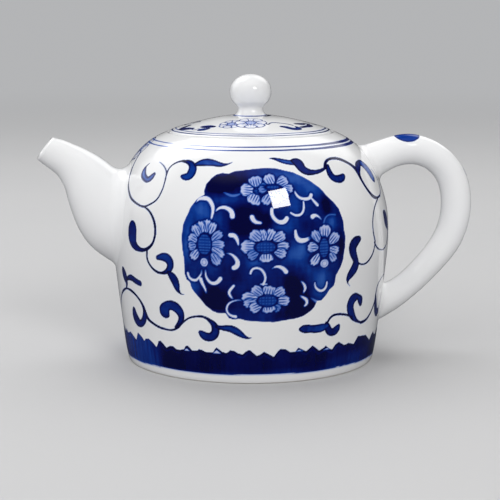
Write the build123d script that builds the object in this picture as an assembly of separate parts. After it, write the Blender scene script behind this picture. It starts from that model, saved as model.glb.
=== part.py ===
from build123d import *
import math
import os

# Porcelain teapot with a seated lid, drawn as its separate ceramic pieces.
# Frame: millimetres, +Z up, origin at the centre of the foot ring's resting
# plane.  The spout reaches towards -X and the handle towards +X.

# ------------------------------------------------------- pot body dimensions
FOOT_R_OUT = 43.7       # resting annulus, outer edge
FOOT_R_IN = 40.4        # resting annulus, inner edge
FOOT_RECESS = 2.8       # height of the hollow inside the foot ring
FOOT_TAPER = 0.7        # inward lean of the foot ring's inside face
FOOT_ARC_MID = (FOOT_R_OUT + 0.53, 0.3)

FLOOR_TOP = 6.4         # inside floor of the pot
FLOOR_R = 37.2          # flat part of the inside floor
HEEL_ARC_MID = (40.7, 7.5)

NECK_R = 29.2           # recess that holds the lid's edge
NECK_TOP = 81.3         # crest of the rim beside the lid
RIM_LOW = NECK_TOP - 0.5        # inner, lower end of the rim's rounding
RIM_ARC_MID = (29.44, 81.27)
LEDGE_Z = 79.2          # ledge that the lid rests on
MOUTH_R = 25.4          # filling opening
MOUTH_LOW = 76.9        # lower edge of the opening

# outside wall, (radius, height), from above the foot ring to the shoulder
WALL_OUT = [
    (44.45, 1.0), (44.90, 3.1), (46.16, 12.3), (47.41, 22.6),
    (48.59, 32.9), (49.38, 41.5), (49.42, 48.5), (48.75, 55.0),
    (47.10, 61.4), (44.60, 67.6), (41.20, 73.1), (37.20, 77.2),
    (33.60, 79.6), (29.95, NECK_TOP),
]

# inside wall, (radius, height), from the floor to under the neck
WALL_IN = [
    (42.10, 10.2), (43.20, 17.0), (44.60, 26.5), (45.80, 36.0),
    (46.40, 44.5), (46.10, 51.0), (44.60, 58.0), (42.20, 64.4),
    (38.90, 70.0), (34.80, 73.9), (30.40, 76.1),
]

WALL_HOLE_R = 10.0      # opening in the pot's wall behind the spout
WALL_HOLE_Z = 50.0
WALL_HOLE_X = -36.0     # inner end of the cutter, which runs towards -X
WALL_HOLE_CUT = 20.0    # length of the cutter

# ---------------------------------------------------------- spout dimensions
# cross sections from inside the pot's wall out to the plane of the mouth:
# (upper x, upper z, lower x, lower z, half width along Y)
SPOUT = [
    (-33.0, 55.6, -47.2, 32.6, 13.4),
    (-36.5, 58.7, -52.6, 36.6, 13.1),
    (-40.0, 61.7, -57.1, 40.5, 12.7),
    (-43.2, 64.5, -60.1, 44.7, 12.1),
    (-46.2, 67.0, -62.2, 48.8, 11.4),
    (-49.0, 69.3, -63.5, 52.3, 10.6),
    (-51.6, 71.4, -64.5, 55.5, 9.8),
    (-54.2, 73.2, -65.3, 58.5, 8.9),
    (-56.6, 74.6, -66.0, 61.4, 8.0),
    (-59.3, 76.0, -67.1, 64.0, 7.1),
    (-62.7, 77.5, -69.0, 66.9, 6.2),
    (-66.1, 78.9, -71.9, 69.3, 5.5),
    (-69.9, 79.9, -75.8, 72.3, 4.9),
]
SPOUT_WALL = 2.6        # wall at the inner end of the bore
LIP_WALL = 1.35         # wall at the outer end of the bore
LIP_ROUND = 0.6         # rounding of the mouth's outer edge
BORE_ROOT_STEPS = 1.0   # how far the bore overruns the spout, in stations
BORE_LIP_STEPS = 0.6

# ------------------------------------------------------- strainer dimensions
STRAINER_R = 13.2       # pierced dome over the wall opening, outside radius
STRAINER_T = 2.0
STRAINER_X = -47.4      # centre of the dome
STRAINER_HOLE_R = 1.15
STRAINER_PIN_OVER = 3.0         # overrun of the hole cutters past the dome
# rings of holes: (tilt from +X in degrees, count, turn in hole pitches)
STRAINER_RINGS = [(0, 1, 0.0), (20, 6, 0.0), (39, 12, 0.5)]

# --------------------------------------------------------- handle dimensions
# from the shoulder to the lower wall:
# (centre x, centre z, half thickness in the XZ plane, half width along Y)
HANDLE = [
    (36.8, 66.2, 8.3, 7.6), (41.2, 68.9, 7.0, 6.7),
    (46.0, 71.2, 6.1, 5.8), (51.2, 73.3, 5.6, 5.2),
    (57.0, 74.4, 5.5, 4.9), (62.8, 73.5, 5.25, 4.8),
    (68.2, 70.7, 5.2, 4.8), (72.4, 66.2, 5.3, 4.8),
    (74.9, 60.2, 5.45, 4.9), (75.6, 53.4, 5.6, 5.0),
    (74.7, 46.6, 5.6, 5.0), (72.0, 40.0, 5.5, 4.9),
    (67.9, 34.0, 5.3, 4.8), (62.6, 28.2, 5.15, 4.7),
    (56.8, 22.9, 5.35, 4.9), (50.8, 18.9, 6.4, 5.8),
    (44.6, 16.6, 8.0, 7.2),
]

# ------------------------------------------------------------ lid dimensions
LID_R = NECK_R - 0.35   # lid disc, clear of the neck
LID_SEAT = LEDGE_Z + 0.05       # underside of the disc, just off the ledge
LID_EDGE_Z = 81.45      # top of the disc's upright edge
LID_ARC_MID = (28.72, 81.86)
LID_THICK = 2.5         # thickness of the dome at its centre
FLANGE_R = MOUTH_R - 0.5        # locating flange, outside
FLANGE_R_IN = FLANGE_R - 2.4
FLANGE_LOW = 71.2       # lower edge of the flange
FLANGE_TIP_Z = FLANGE_LOW + 0.6         # start of the rounded tip
FLANGE_TIP_R = FLANGE_R - 0.5   # outside radius there
FLANGE_ARC_MID = (23.65, FLANGE_LOW)

# top of the dome, (radius, height), from the edge to the axis
LID_TOP = [
    (28.35, 82.02), (27.28, 82.46), (24.37, 83.42),
    (21.38, 84.24), (18.68, 84.93), (15.20, 85.78),
    (11.00, 86.60), (6.00, 87.15), (0.00, 87.35),
]
# underside of the dome, (radius, height), from the flange to the axis
LID_UNDER = [
    (FLANGE_R_IN, 81.0), (20.0, 82.1), (16.0, 83.0),
    (10.0, 84.15), (4.0, 84.75), (0.0, LID_TOP[-1][1] - LID_THICK),
]
VENT_R = 1.1            # steam vent through the lid
VENT_AT = 17.5          # distance of the vent from the lid's axis, along +Y
VENT_LOW = 78.0         # lower end of the vent's cutter
VENT_CUT = 12.0         # length of the cutter

# ----------------------------------------------------------- knob dimensions
KNOB_R = 7.35           # widest radius
KNOB_H = 6.15           # half height
KNOB_Z = 95.75          # height of the widest circle
KNOB_TOP = KNOB_Z + KNOB_H
KNOB_BASE_Z = 86.2      # bottom of the knob before the lid is cut from it
KNOB_FOOT_R = 7.3       # flare of the neck on the lid
KNOB_NECK_R = 4.35      # narrowest part of the neck
KNOB_STEPS = 10         # intervals along the crown's outline

# neck under the knob, (radius, height), from the base to the crown
KNOB_NECK = [
    (KNOB_FOOT_R + 0.9, KNOB_BASE_Z),
    (KNOB_FOOT_R - 0.3, 87.35),
    (KNOB_NECK_R + 0.75, 88.5),
    (KNOB_NECK_R, 89.9),
    (KNOB_NECK_R + 0.75, 91.35),
]


# ------------------------------------------------------------------- helpers
# Turned profiles are (radius, height) points in the half plane x = 0, y >= 0.
def profile_points(points):
    return [Vector(0, radius, z) for radius, z in points]


def lines(*points):
    """Straight edges from each profile point to the next."""
    ends = profile_points(points)
    return [Edge.make_line(a, b) for a, b in zip(ends, ends[1:])]


def arc(start, middle, end):
    return Edge.make_three_point_arc(*profile_points([start, middle, end]))


def curve(points):
    return Edge.make_spline(profile_points(points))


def turned(edges):
    return revolve(Face(Wire(edges)), Axis.Z, 360)


def largest(shape):
    """The main solid, without offcuts left by a trim."""
    return max(shape.solids(), key=lambda solid: solid.volume)


def ellipse_across(x, z, normal, half_y, half_xz):
    """Ellipse centred in the XZ plane, standing across the given normal."""
    plane = Plane(origin=(x, 0, z), x_dir=(0, 1, 0), z_dir=normal)
    return plane * Ellipse(half_y, half_xz)


def path_tube(stations):
    """Loft through ellipses that stand across the path of their centres."""
    sections = []
    for i, (x, z, half_xz, half_y) in enumerate(stations):
        before = stations[max(i - 1, 0)]
        after = stations[min(i + 1, len(stations) - 1)]
        along = Vector(after[0] - before[0], 0, after[1] - before[1])
        sections.append(ellipse_across(x, z, along, half_y, half_xz))
    return loft(sections)


def chord_tube(stations, first_inset=0.0, last_inset=0.0):
    """Loft through ellipses given by their upper and lower points."""
    sections = []
    for i, (upper_x, upper_z, lower_x, lower_z, half_y) in enumerate(stations):
        across = Vector(upper_x - lower_x, 0, upper_z - lower_z)
        share = i / (len(stations) - 1)
        inset = first_inset + (last_inset - first_inset) * share
        sections.append(ellipse_across(
            (upper_x + lower_x) / 2,
            (upper_z + lower_z) / 2,
            Vector(-across.Z, 0, across.X).normalized(),
            half_y - inset,
            across.length / 2 - inset,
        ))
    return loft(sections)


def carried_on(before, last, steps):
    """Station reached by carrying on from before through last."""
    return tuple(q + (q - p) * steps for p, q in zip(before, last))


# ------------------------------------------------------------------ pot body
def outer_skin():
    """Edges of the outside, from the foot up to the rim."""
    return [
        arc((FOOT_R_OUT, 0), FOOT_ARC_MID, WALL_OUT[0]),
        curve(WALL_OUT),
        arc(WALL_OUT[-1], RIM_ARC_MID, (NECK_R, RIM_LOW)),
    ]


def inner_skin():
    """Edges of the inside, from the floor up to under the neck."""
    return [
        arc((FLOOR_R, FLOOR_TOP), HEEL_ARC_MID, WALL_IN[0]),
        curve(WALL_IN),
    ]


def make_pot_body():
    shell = turned([
        *lines(
            (0, FOOT_RECESS),
            (FOOT_R_IN - FOOT_TAPER, FOOT_RECESS),
            (FOOT_R_IN, 0),
            (FOOT_R_OUT, 0),
        ),
        *outer_skin(),
        *lines(
            (NECK_R, RIM_LOW),
            (NECK_R, LEDGE_Z),
            (MOUTH_R, LEDGE_Z),
            (MOUTH_R, MOUTH_LOW),
            WALL_IN[-1],
        ),
        *reversed(inner_skin()),
        *lines((FLOOR_R, FLOOR_TOP), (0, FLOOR_TOP), (0, FOOT_RECESS)),
    ])
    hole = Plane(
        origin=(WALL_HOLE_X, 0, WALL_HOLE_Z), z_dir=(-1, 0, 0)
    ) * extrude(Circle(WALL_HOLE_R), WALL_HOLE_CUT)
    return shell - hole


def make_pot_filled():
    """Filled outside of the pot, used to trim the spout and the handle."""
    return turned([
        *lines((0, 0), (FOOT_R_OUT, 0)),
        *outer_skin(),
        *lines((NECK_R, RIM_LOW), (0, RIM_LOW), (0, 0)),
    ])


def make_pot_hollow():
    """Hollow of the pot, used to trim the strainer to the inside wall."""
    return turned([
        *lines((0, FLOOR_TOP), (FLOOR_R, FLOOR_TOP)),
        *inner_skin(),
        *lines(WALL_IN[-1], (0, WALL_IN[-1][1]), (0, FLOOR_TOP)),
    ])


# --------------------------------------------------------------------- spout
def make_spout(pot_filled):
    outside = chord_tube(SPOUT)
    # the bore overruns both ends, keeping the mouth's width at the outer one
    root = carried_on(SPOUT[1], SPOUT[0], BORE_ROOT_STEPS)
    lip = carried_on(SPOUT[-2], SPOUT[-1], BORE_LIP_STEPS)[:4] + SPOUT[-1][4:]
    bore = chord_tube([root, *SPOUT, lip], SPOUT_WALL, LIP_WALL)
    mouth = min(outside.faces(), key=lambda face: face.center().X)
    # guards the rounding of the mouth: if it fails, the edge stays sharp
    try:
        outside = fillet(mouth.edges(), LIP_ROUND)
    except Exception:
        pass
    return largest(outside - bore - pot_filled)


# ------------------------------------------------------------------ strainer
def make_strainer():
    ball = Sphere(STRAINER_R) - Sphere(STRAINER_R - STRAINER_T)
    dome = Pos(STRAINER_X, 0, WALL_HOLE_Z) * ball
    dome = dome & make_pot_hollow()
    pins = []
    for degrees, count, offset in STRAINER_RINGS:
        tilt = math.radians(degrees)
        for k in range(count):
            turn = 2 * math.pi * (k + offset) / count
            outward = (
                math.cos(tilt),
                math.sin(tilt) * math.cos(turn),
                math.sin(tilt) * math.sin(turn),
            )
            pins.append(
                Plane(origin=(STRAINER_X, 0, WALL_HOLE_Z), z_dir=outward)
                * extrude(Circle(STRAINER_HOLE_R), STRAINER_R + STRAINER_PIN_OVER)
            )
    return largest(dome - pins)


# -------------------------------------------------------------------- handle
def make_handle(pot_filled):
    return largest(path_tube(HANDLE) - pot_filled)


# ----------------------------------------------------------------------- lid
def make_lid_blank():
    """The lid before its vent is cut."""
    tip_in = (FLANGE_R_IN, FLANGE_TIP_Z)
    tip_out = (FLANGE_R, LID_SEAT), (FLANGE_TIP_R, FLANGE_TIP_Z)
    return turned([
        *lines(LID_UNDER[-1], LID_TOP[-1]),
        curve(LID_TOP),
        arc((LID_R, LID_EDGE_Z), LID_ARC_MID, LID_TOP[0]),
        *lines((LID_R, LID_EDGE_Z), (LID_R, LID_SEAT), *tip_out),
        arc(tip_in, FLANGE_ARC_MID, tip_out[-1]),
        *lines(tip_in, LID_UNDER[0]),
        curve(LID_UNDER),
    ])


def make_lid(lid_blank):
    vent = Pos(0, VENT_AT, VENT_LOW) * extrude(Circle(VENT_R), VENT_CUT)
    return lid_blank - vent


# ---------------------------------------------------------------------- knob
def make_knob(lid_blank):
    # the crown follows an ellipse from the neck's upper end to the axis
    neck_end = KNOB_NECK[-1]
    start = math.atan2((neck_end[1] - KNOB_Z) / KNOB_H, neck_end[0] / KNOB_R)
    crown = [neck_end]
    for k in range(1, KNOB_STEPS):
        angle = start + (math.pi / 2 - start) * k / KNOB_STEPS
        crown.append((KNOB_R * math.cos(angle), KNOB_Z + KNOB_H * math.sin(angle)))
    crown.append((0, KNOB_TOP))
    blank = turned([
        *lines((0, KNOB_BASE_Z), KNOB_NECK[0]),
        curve(KNOB_NECK),
        curve(crown),
        *lines((0, KNOB_TOP), (0, KNOB_BASE_Z)),
    ])
    return largest(blank - lid_blank)


# -------------------------------------------------------------------- export
pot_filled = make_pot_filled()
lid_blank = make_lid_blank()
parts = {
    "pot_body": make_pot_body(),
    "spout": make_spout(pot_filled),
    "spout_strainer": make_strainer(),
    "handle": make_handle(pot_filled),
    "lid": make_lid(lid_blank),
    "lid_knob": make_knob(lid_blank),
}

os.makedirs("parts", exist_ok=True)
for name, shape in parts.items():
    export_step(shape, f"parts/{name}.step")
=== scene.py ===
import math

import bpy
import numpy as np
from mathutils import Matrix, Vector


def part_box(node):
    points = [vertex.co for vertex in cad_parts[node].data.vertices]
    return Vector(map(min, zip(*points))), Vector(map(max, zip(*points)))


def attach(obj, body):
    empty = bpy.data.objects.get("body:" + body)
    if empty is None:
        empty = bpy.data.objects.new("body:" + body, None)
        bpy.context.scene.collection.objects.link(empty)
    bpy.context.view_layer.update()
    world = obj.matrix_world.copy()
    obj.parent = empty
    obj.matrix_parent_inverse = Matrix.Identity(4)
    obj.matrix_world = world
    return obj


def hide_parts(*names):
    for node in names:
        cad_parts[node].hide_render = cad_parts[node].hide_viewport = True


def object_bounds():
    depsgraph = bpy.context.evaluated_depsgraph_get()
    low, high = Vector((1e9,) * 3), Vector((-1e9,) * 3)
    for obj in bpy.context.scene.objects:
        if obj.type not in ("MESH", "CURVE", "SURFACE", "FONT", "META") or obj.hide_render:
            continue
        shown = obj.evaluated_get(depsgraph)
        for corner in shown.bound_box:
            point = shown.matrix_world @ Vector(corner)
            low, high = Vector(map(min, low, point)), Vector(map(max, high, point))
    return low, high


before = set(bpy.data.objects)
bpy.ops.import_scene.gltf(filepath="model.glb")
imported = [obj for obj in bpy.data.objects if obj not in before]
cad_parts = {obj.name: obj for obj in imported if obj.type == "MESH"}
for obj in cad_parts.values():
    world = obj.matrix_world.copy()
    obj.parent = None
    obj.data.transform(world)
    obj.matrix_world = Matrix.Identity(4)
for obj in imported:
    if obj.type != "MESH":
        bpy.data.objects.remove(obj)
cad_box = [list(corner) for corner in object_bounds()]
MM = 0.001

# ------------------------------------------------------------- shape tables
# (radius, height) of the pot's outside, foot to rim
WALL_OUT = [
    (44.45, 1.0), (44.90, 3.1), (46.16, 12.3), (47.41, 22.6), (48.59, 32.9), (49.38, 41.5),
    (49.42, 48.5), (48.75, 55.0), (47.10, 61.4), (44.60, 67.6), (41.20, 73.1), (37.20, 77.2),
    (33.60, 79.6), (29.95, 81.30),
]
# (radius, height) of its inside, from above the heel to below the ledge
WALL_IN = [
    (42.10, 10.2), (43.20, 17.0), (44.60, 26.5), (45.80, 36.0), (46.40, 44.5), (46.10, 51.0),
    (44.60, 58.0), (42.20, 64.4), (38.90, 70.0), (34.80, 73.9), (30.40, 76.1),
]
# (radius, height) where the inside rounds into the floor
HEEL = [WALL_IN[0], (41.55, 8.7), (40.3, 7.35), (38.9, 6.65), (37.2, 6.4)]
# (radius, height) of the lid's top, rim to axis, and of its underside
LID_TOP = [
    (28.35, 82.02), (27.28, 82.46), (24.37, 83.42), (21.38, 84.24), (18.68, 84.93),
    (15.20, 85.78), (11.00, 86.60), (6.00, 87.15), (0.00, 87.35),
]
LID_UNDER = [
    (22.5, 80.6), (20.0, 82.0), (16.0, 83.0), (10.0, 84.15), (4.0, 84.75), (0.0, 84.85),
]
# (radius, height) of the knob's neck
KNOB_NECK = [(6.3, 86.2), (5.75, 87.15), (4.9, 88.15), (4.42, 89.3), (4.42, 90.15), (5.22, 91.0)]
# spout stations: x, z of its upper line, x, z of its lower line, half width in y
SPOUT = [
    (-33.0, 55.6, -48.2, 34.2, 13.4), (-36.5, 58.7, -53.0, 37.4, 13.1),
    (-40.0, 61.7, -57.2, 40.9, 12.7), (-43.2, 64.5, -60.1, 44.7, 12.1),
    (-46.2, 67.0, -62.2, 48.8, 11.4), (-49.0, 69.3, -63.5, 52.3, 10.6),
    (-51.6, 71.4, -64.5, 55.5, 9.8), (-54.2, 73.2, -65.3, 58.5, 8.9),
    (-56.6, 74.6, -66.0, 61.4, 8.0), (-59.3, 76.0, -67.1, 64.0, 7.1),
    (-62.7, 77.5, -69.0, 66.9, 6.2), (-66.1, 78.9, -71.9, 69.3, 5.5),
    (-69.9, 79.9, -75.8, 72.3, 4.9),
]
# handle stations: x, z of its centre, half thickness in the xz plane, half width in y
HANDLE = [
    (36.8, 66.2, 8.3, 7.6), (41.2, 68.9, 7.0, 6.7), (46.0, 71.2, 6.1, 5.8), (51.2, 73.3, 5.6, 5.2),
    (57.0, 74.4, 5.5, 4.9), (62.8, 73.5, 5.25, 4.8), (68.2, 70.7, 5.2, 4.8), (72.4, 66.2, 5.3, 4.8),
    (74.9, 60.2, 5.45, 4.9), (75.55, 53.4, 5.5, 5.0), (74.55, 46.6, 5.4, 5.0),
    (71.8, 40.1, 5.3, 4.9), (67.5, 34.3, 5.0, 4.8), (62.2, 28.6, 4.85, 4.7),
    (56.4, 23.5, 4.85, 4.8), (50.3, 19.8, 5.5, 5.5), (44.2, 17.7, 6.8, 6.9),
]
HOLE_RADIUS, HOLE_Z = 10.0, 50.0    # opening in the wall behind the spout
VENT_RADIUS, VENT_Y = 1.1, 17.5     # hole through the lid, towards the back
FOOT_RECESS, FLOOR_Z, LEDGE_Z = 2.8, 6.4, 79.2
LID_SEAT_Z, LID_RADIUS = 79.25, 28.85
BALL_BASE = KNOB_NECK[-1]
KNOB_BASE, KNOB_TOP = KNOB_NECK[0][1], 101.9

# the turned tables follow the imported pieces
KNOB_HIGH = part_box("lid_knob")[1].z / MM
WIDTH_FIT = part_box("pot_body")[1].y / MM / 49.45
HEIGHT_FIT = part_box("pot_body")[1].z / MM / WALL_OUT[-1][1]
LID_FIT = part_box("lid")[1].y / MM / LID_RADIUS

PAINT_PITCH = 0.3                    # row spacing on painted surfaces
WALL_COLUMNS, PLAIN_COLUMNS, CENTRE_COLUMNS = 1040, 260, 65
LID_COLUMNS, LID_PLAIN_COLUMNS = 720, 360
SPOUT_COLUMNS, HANDLE_COLUMNS, KNOB_COLUMNS = 128, 104, 128


# ------------------------------------------------------------------ numbers
class Curve:
    """natural cubic spline through rows of numbers, by chord length of the first dims"""

    def __init__(self, points, dims=2):
        self.points = np.array(points, float)
        count = len(self.points)
        chords = np.linalg.norm(np.diff(self.points[:, :dims], axis=0), axis=1)
        self.knots = np.r_[0, np.cumsum(chords)]
        gap = np.diff(self.knots)
        matrix = np.zeros((count, count))
        target = np.zeros_like(self.points)
        matrix[0, 0] = matrix[-1, -1] = 1
        for i in range(1, count - 1):
            matrix[i, i - 1 : i + 2] = gap[i - 1], 2 * (gap[i - 1] + gap[i]), gap[i]
            target[i] = 6 * (
                (self.points[i + 1] - self.points[i]) / gap[i]
                - (self.points[i] - self.points[i - 1]) / gap[i - 1]
            )
        self.bend = np.linalg.solve(matrix, target)

    def __call__(self, along):
        along = np.clip(np.asarray(along, float), 0, self.length)
        i = np.searchsorted(self.knots, along, side="right") - 1
        i = np.clip(i, 0, len(self.knots) - 2)
        gap = (self.knots[i + 1] - self.knots[i])[..., None]
        past = (along - self.knots[i])[..., None]
        left = gap - past
        return (
            self.bend[i] * left**3 / (6 * gap)
            + self.bend[i + 1] * past**3 / (6 * gap)
            + (self.points[i] / gap - self.bend[i] * gap / 6) * left
            + (self.points[i + 1] / gap - self.bend[i + 1] * gap / 6) * past
        )

    def sample(self, count):
        return self(np.linspace(0, self.length, count))

    @property
    def length(self):
        return self.knots[-1]


def smooth(x):
    x = np.clip(x, 0, 1)
    return x * x * (3 - 2 * x)


LATTICES = {}


def noise(x, y, seed):
    """smooth value noise between -1 and 1, repeating every 64 cells"""
    if seed not in LATTICES:
        LATTICES[seed] = np.random.RandomState(seed).uniform(-1, 1, (64, 64))
    lattice = LATTICES[seed]
    cell_x, cell_y = np.floor(x).astype(int), np.floor(y).astype(int)
    part_x, part_y = smooth(x - cell_x), smooth(y - cell_y)
    x0, x1, y0, y1 = cell_x % 64, (cell_x + 1) % 64, cell_y % 64, (cell_y + 1) % 64
    return (
        lattice[x0, y0] * (1 - part_x) * (1 - part_y)
        + lattice[x1, y0] * part_x * (1 - part_y)
        + lattice[x0, y1] * (1 - part_x) * part_y
        + lattice[x1, y1] * part_x * part_y
    )


def resample(points, pitch):
    """evenly spaced points along a polyline, both ends kept"""
    points = np.array(points, float)
    run = np.r_[0, np.cumsum(np.linalg.norm(np.diff(points, axis=0), axis=1))]
    stops = np.linspace(0, run[-1], max(2, int(round(run[-1] / pitch)) + 1))
    return np.stack([np.interp(stops, run, column) for column in points.T], -1)


# ----------------------------------------------------------------- surfaces
class Surface:
    """vertices and faces gathered as arrays, then written as one mesh"""

    def __init__(self):
        self.parts, self.count, self.tris, self.quads = [], 0, [], []

    def add(self, points):
        points = np.asarray(points, float).reshape(-1, 3)
        first = self.count
        self.parts.append(points)
        self.count += len(points)
        return np.arange(first, self.count)

    def strip(self, one, two):
        """faces between two closed rows of vertices, of the same count or not"""
        count1, count2 = len(one), len(two)
        if count1 == count2:
            faces = [one, np.roll(one, -1), np.roll(two, -1), two]
            self.quads.append(np.stack(faces, -1))
        elif count1 == 1:
            self.tris.append(np.stack([np.repeat(one, count2), np.roll(two, -1), two], -1))
        elif count2 == 1:
            self.tris.append(np.stack([one, np.roll(one, -1), np.repeat(two, count1)], -1))
        else:
            i, j, faces = 0, 0, []
            while i < count1 or j < count2:
                here, there = one[i % count1], two[j % count2]
                if j >= count2 or (i < count1 and (i + 0.5) / count1 <= (j + 0.5) / count2):
                    faces.append((here, one[(i + 1) % count1], there))
                    i += 1
                else:
                    faces.append((here, two[(j + 1) % count2], there))
                    j += 1
            self.tris.append(np.asarray(faces, int))

    def skin(self, rows, flip=False):
        """adds rows of points and the strips between them; returns each row's vertices"""
        made = [self.add(row) for row in rows]
        for one, two in zip(made, made[1:]):
            self.strip(*((two, one) if flip else (one, two)))
        return made

    def verts(self):
        self.parts = [np.concatenate(self.parts)]
        return self.parts[0]

    def punch(self, flat, lift, near, radius):
        """opens a round hole and returns its rim vertices.
        flat(verts) gives 2D places about its axis, near(verts) picks the vertices to look
        at, lift(verts, places, ids) puts moved vertices back on the surface"""
        verts = self.verts()
        places = flat(verts)
        off_axis = np.hypot(places[:, 0], places[:, 1])
        off_axis[~near(verts)] = 1e9
        faces = [np.concatenate(self.quads), np.concatenate(self.tris)]
        close = [(off_axis[face] < radius + 4).any(1) for face in faces]
        polys = [list(poly) for face, pick in zip(faces, close) for poly in face[pick]]
        rim = set()
        for poly in polys:
            for one, two in zip(poly, poly[1:] + poly[:1]):
                if (off_axis[one] < radius) != (off_axis[two] < radius):
                    share = (radius - off_axis[one]) / (off_axis[two] - off_axis[one])
                    rim.add(one if share < 0.5 else two)
        ids = np.array(sorted(rim))
        unit = places[ids] / off_axis[ids][:, None]
        verts[ids] = lift(verts[ids], unit * radius, ids)
        kept = {4: [], 3: []}
        for poly in polys:
            rest = [one for one in poly if one in rim or off_axis[one] > radius]
            if len(rest) in kept:
                kept[len(rest)].append(rest)
        self.quads, self.tris = (
            [face[~pick], np.array(kept[sides], int).reshape(-1, sides)]
            for face, pick, sides in zip(faces, close, (4, 3))
        )
        used = {one for poly in kept[4] + kept[3] for one in poly}
        return np.array([one for one in ids if one in used])

    def by_angle(self, ids, flat, direction=1):
        places = flat(self.verts())[ids]
        angle = direction * np.arctan2(places[:, 1], places[:, 0])
        return ids[np.argsort(angle, kind="stable")]

    def mesh(self, name, attributes):
        verts = self.verts() * MM
        quads = np.concatenate(self.quads)
        tris = np.concatenate(self.tris) if self.tris else np.zeros((0, 3), int)
        used = np.zeros(len(verts), bool)
        used[quads.ravel()] = True
        used[tris.ravel()] = True
        renumber = np.cumsum(used) - 1
        loops = renumber[np.r_[quads.ravel(), tris.ravel()]].astype(np.int32)
        sizes = np.r_[np.full(len(quads), 4), np.full(len(tris), 3)].astype(np.int32)
        starts = np.r_[0, np.cumsum(sizes)[:-1]].astype(np.int32)
        verts = verts[used]
        mesh = bpy.data.meshes.new(name)
        mesh.vertices.add(len(verts))
        mesh.vertices.foreach_set("co", verts.astype(np.float32).ravel())
        mesh.loops.add(len(loops))
        mesh.loops.foreach_set("vertex_index", loops)
        mesh.polygons.add(len(sizes))
        mesh.polygons.foreach_set("loop_start", starts)
        mesh.polygons.foreach_set("loop_total", sizes)
        mesh.polygons.foreach_set("use_smooth", np.ones(len(sizes), bool))
        for key, values in attributes.items():
            layer = mesh.attributes.new(key, "FLOAT", "POINT")
            layer.data.foreach_set("value", np.asarray(values, np.float32)[used])
        mesh.update(calc_edges=True)
        mesh.validate()
        obj = bpy.data.objects.new(name, mesh)
        bpy.context.scene.collection.objects.link(obj)
        return obj


def ring(radius, z, count):
    """a circle of points from the back, growing in angle; the front is column count/2"""
    if radius < 1e-6:
        return np.array([[0.0, 0.0, z]])
    turn = np.radians(-270 + 360 * np.arange(count) / count)
    return np.stack([radius * np.cos(turn), radius * np.sin(turn), np.full(count, z)], -1)


def rings(rows):
    return [ring(*row) for row in rows]


def spun(points, columns):
    """(radius, height) points as rows of (radius, height, columns)"""
    return [(radius, z, columns) for radius, z in points]


def arc(centre, radius, start, end, count):
    """points on a circle in the profile plane, angles in degrees"""
    turns = np.radians(np.linspace(start, end, count))
    return [
        (centre[0] + radius * math.cos(turn), centre[1] + radius * math.sin(turn))
        for turn in turns
    ]


def row_places(rows):
    """(radius, height) of every vertex of a turned surface"""
    return np.concatenate([np.tile([[radius, z]], (count, 1)) for radius, z, count in rows])


# -------------------------------------------------------------- pot's wall
outside = resample(Curve(WALL_OUT).sample(900), PAINT_PITCH)
inside = resample(Curve(WALL_IN).sample(300), 1.1)
heel = resample(Curve(HEEL).sample(80), 0.9)
OUT_R, OUT_Z = outside[:, 0] * WIDTH_FIT, outside[:, 1] * HEIGHT_FIT
OUT_RUN = np.r_[0, np.cumsum(np.hypot(np.diff(OUT_R), np.diff(OUT_Z)))]
IN_R, IN_Z = inside[:, 0] * WIDTH_FIT, inside[:, 1] * HEIGHT_FIT

UNDER_ROWS = (
    [(0.0, FOOT_RECESS, 1)]
    + spun([(radius, FOOT_RECESS) for radius in (1.6, 5.0, 9.0)], CENTRE_COLUMNS)
    + spun(
        [(radius, FOOT_RECESS) for radius in np.linspace(12, 37.6, 18)]
        + arc((38.4, 2.0), 0.8, 85, 20, 5)
        + [(39.5, 1.4), (39.85, 0.7)]
        + arc((40.6, 0.45), 0.45, 195, 268, 5)
        + [(41.6, 0.0), (42.6, 0.0)]
        + arc((43.55, 0.75), 0.75, 272, 350, 7),
        PLAIN_COLUMNS,
    )
)
# over the rim, down to the ledge for the lid, and under it
RIM = (
    arc((29.8, 80.72), 0.6, 78, 178, 9)
    + [(29.2, 80.2), (29.2, 79.75)]
    + arc((28.9, 79.5), 0.3, 0, -85, 4)
    + [(28.2, LEDGE_Z), (27.3, LEDGE_Z), (26.5, LEDGE_Z)]
    + arc((25.9, 78.7), 0.5, 85, 180, 6)
    + [(25.4, 78.1), (25.4, 77.5)]
    + arc((26.0, 77.2), 0.6, 182, 255, 5)
    + [(27.5, 76.45), (29.0, 76.25)]
)
FLOOR_ROWS = (
    spun([(radius, FLOOR_Z) for radius in np.linspace(35.6, 12, 16)], PLAIN_COLUMNS)
    + spun([(radius, FLOOR_Z) for radius in (9.0, 5.0, 1.6)], CENTRE_COLUMNS)
    + [(0.0, FLOOR_Z, 1)]
)
POT_ROWS = [
    (radius * WIDTH_FIT, z * HEIGHT_FIT, count)
    for radius, z, count in (
        UNDER_ROWS
        + spun(outside, WALL_COLUMNS)
        + spun(RIM, PLAIN_COLUMNS)
        + spun(inside[::-1], PLAIN_COLUMNS)
        + spun(heel[1:], PLAIN_COLUMNS)
        + FLOOR_ROWS
    )
]
wall_first = sum(count for _, _, count in UNDER_ROWS)
wall_end = wall_first + len(outside) * WALL_COLUMNS


def through_wall(verts):
    return np.stack([verts[:, 1], verts[:, 2] - HOLE_Z], -1)


def on_outside(ids):
    return (ids >= wall_first) & (ids < wall_end)


def on_wall(verts, places, ids):
    z = places[:, 1] + HOLE_Z
    radius = np.where(on_outside(ids), np.interp(z, OUT_Z, OUT_R), np.interp(z, IN_Z, IN_R))
    x = -np.sqrt(np.maximum(radius * radius - places[:, 0] ** 2, 1))
    return np.stack([x, places[:, 0], z], -1)


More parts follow.
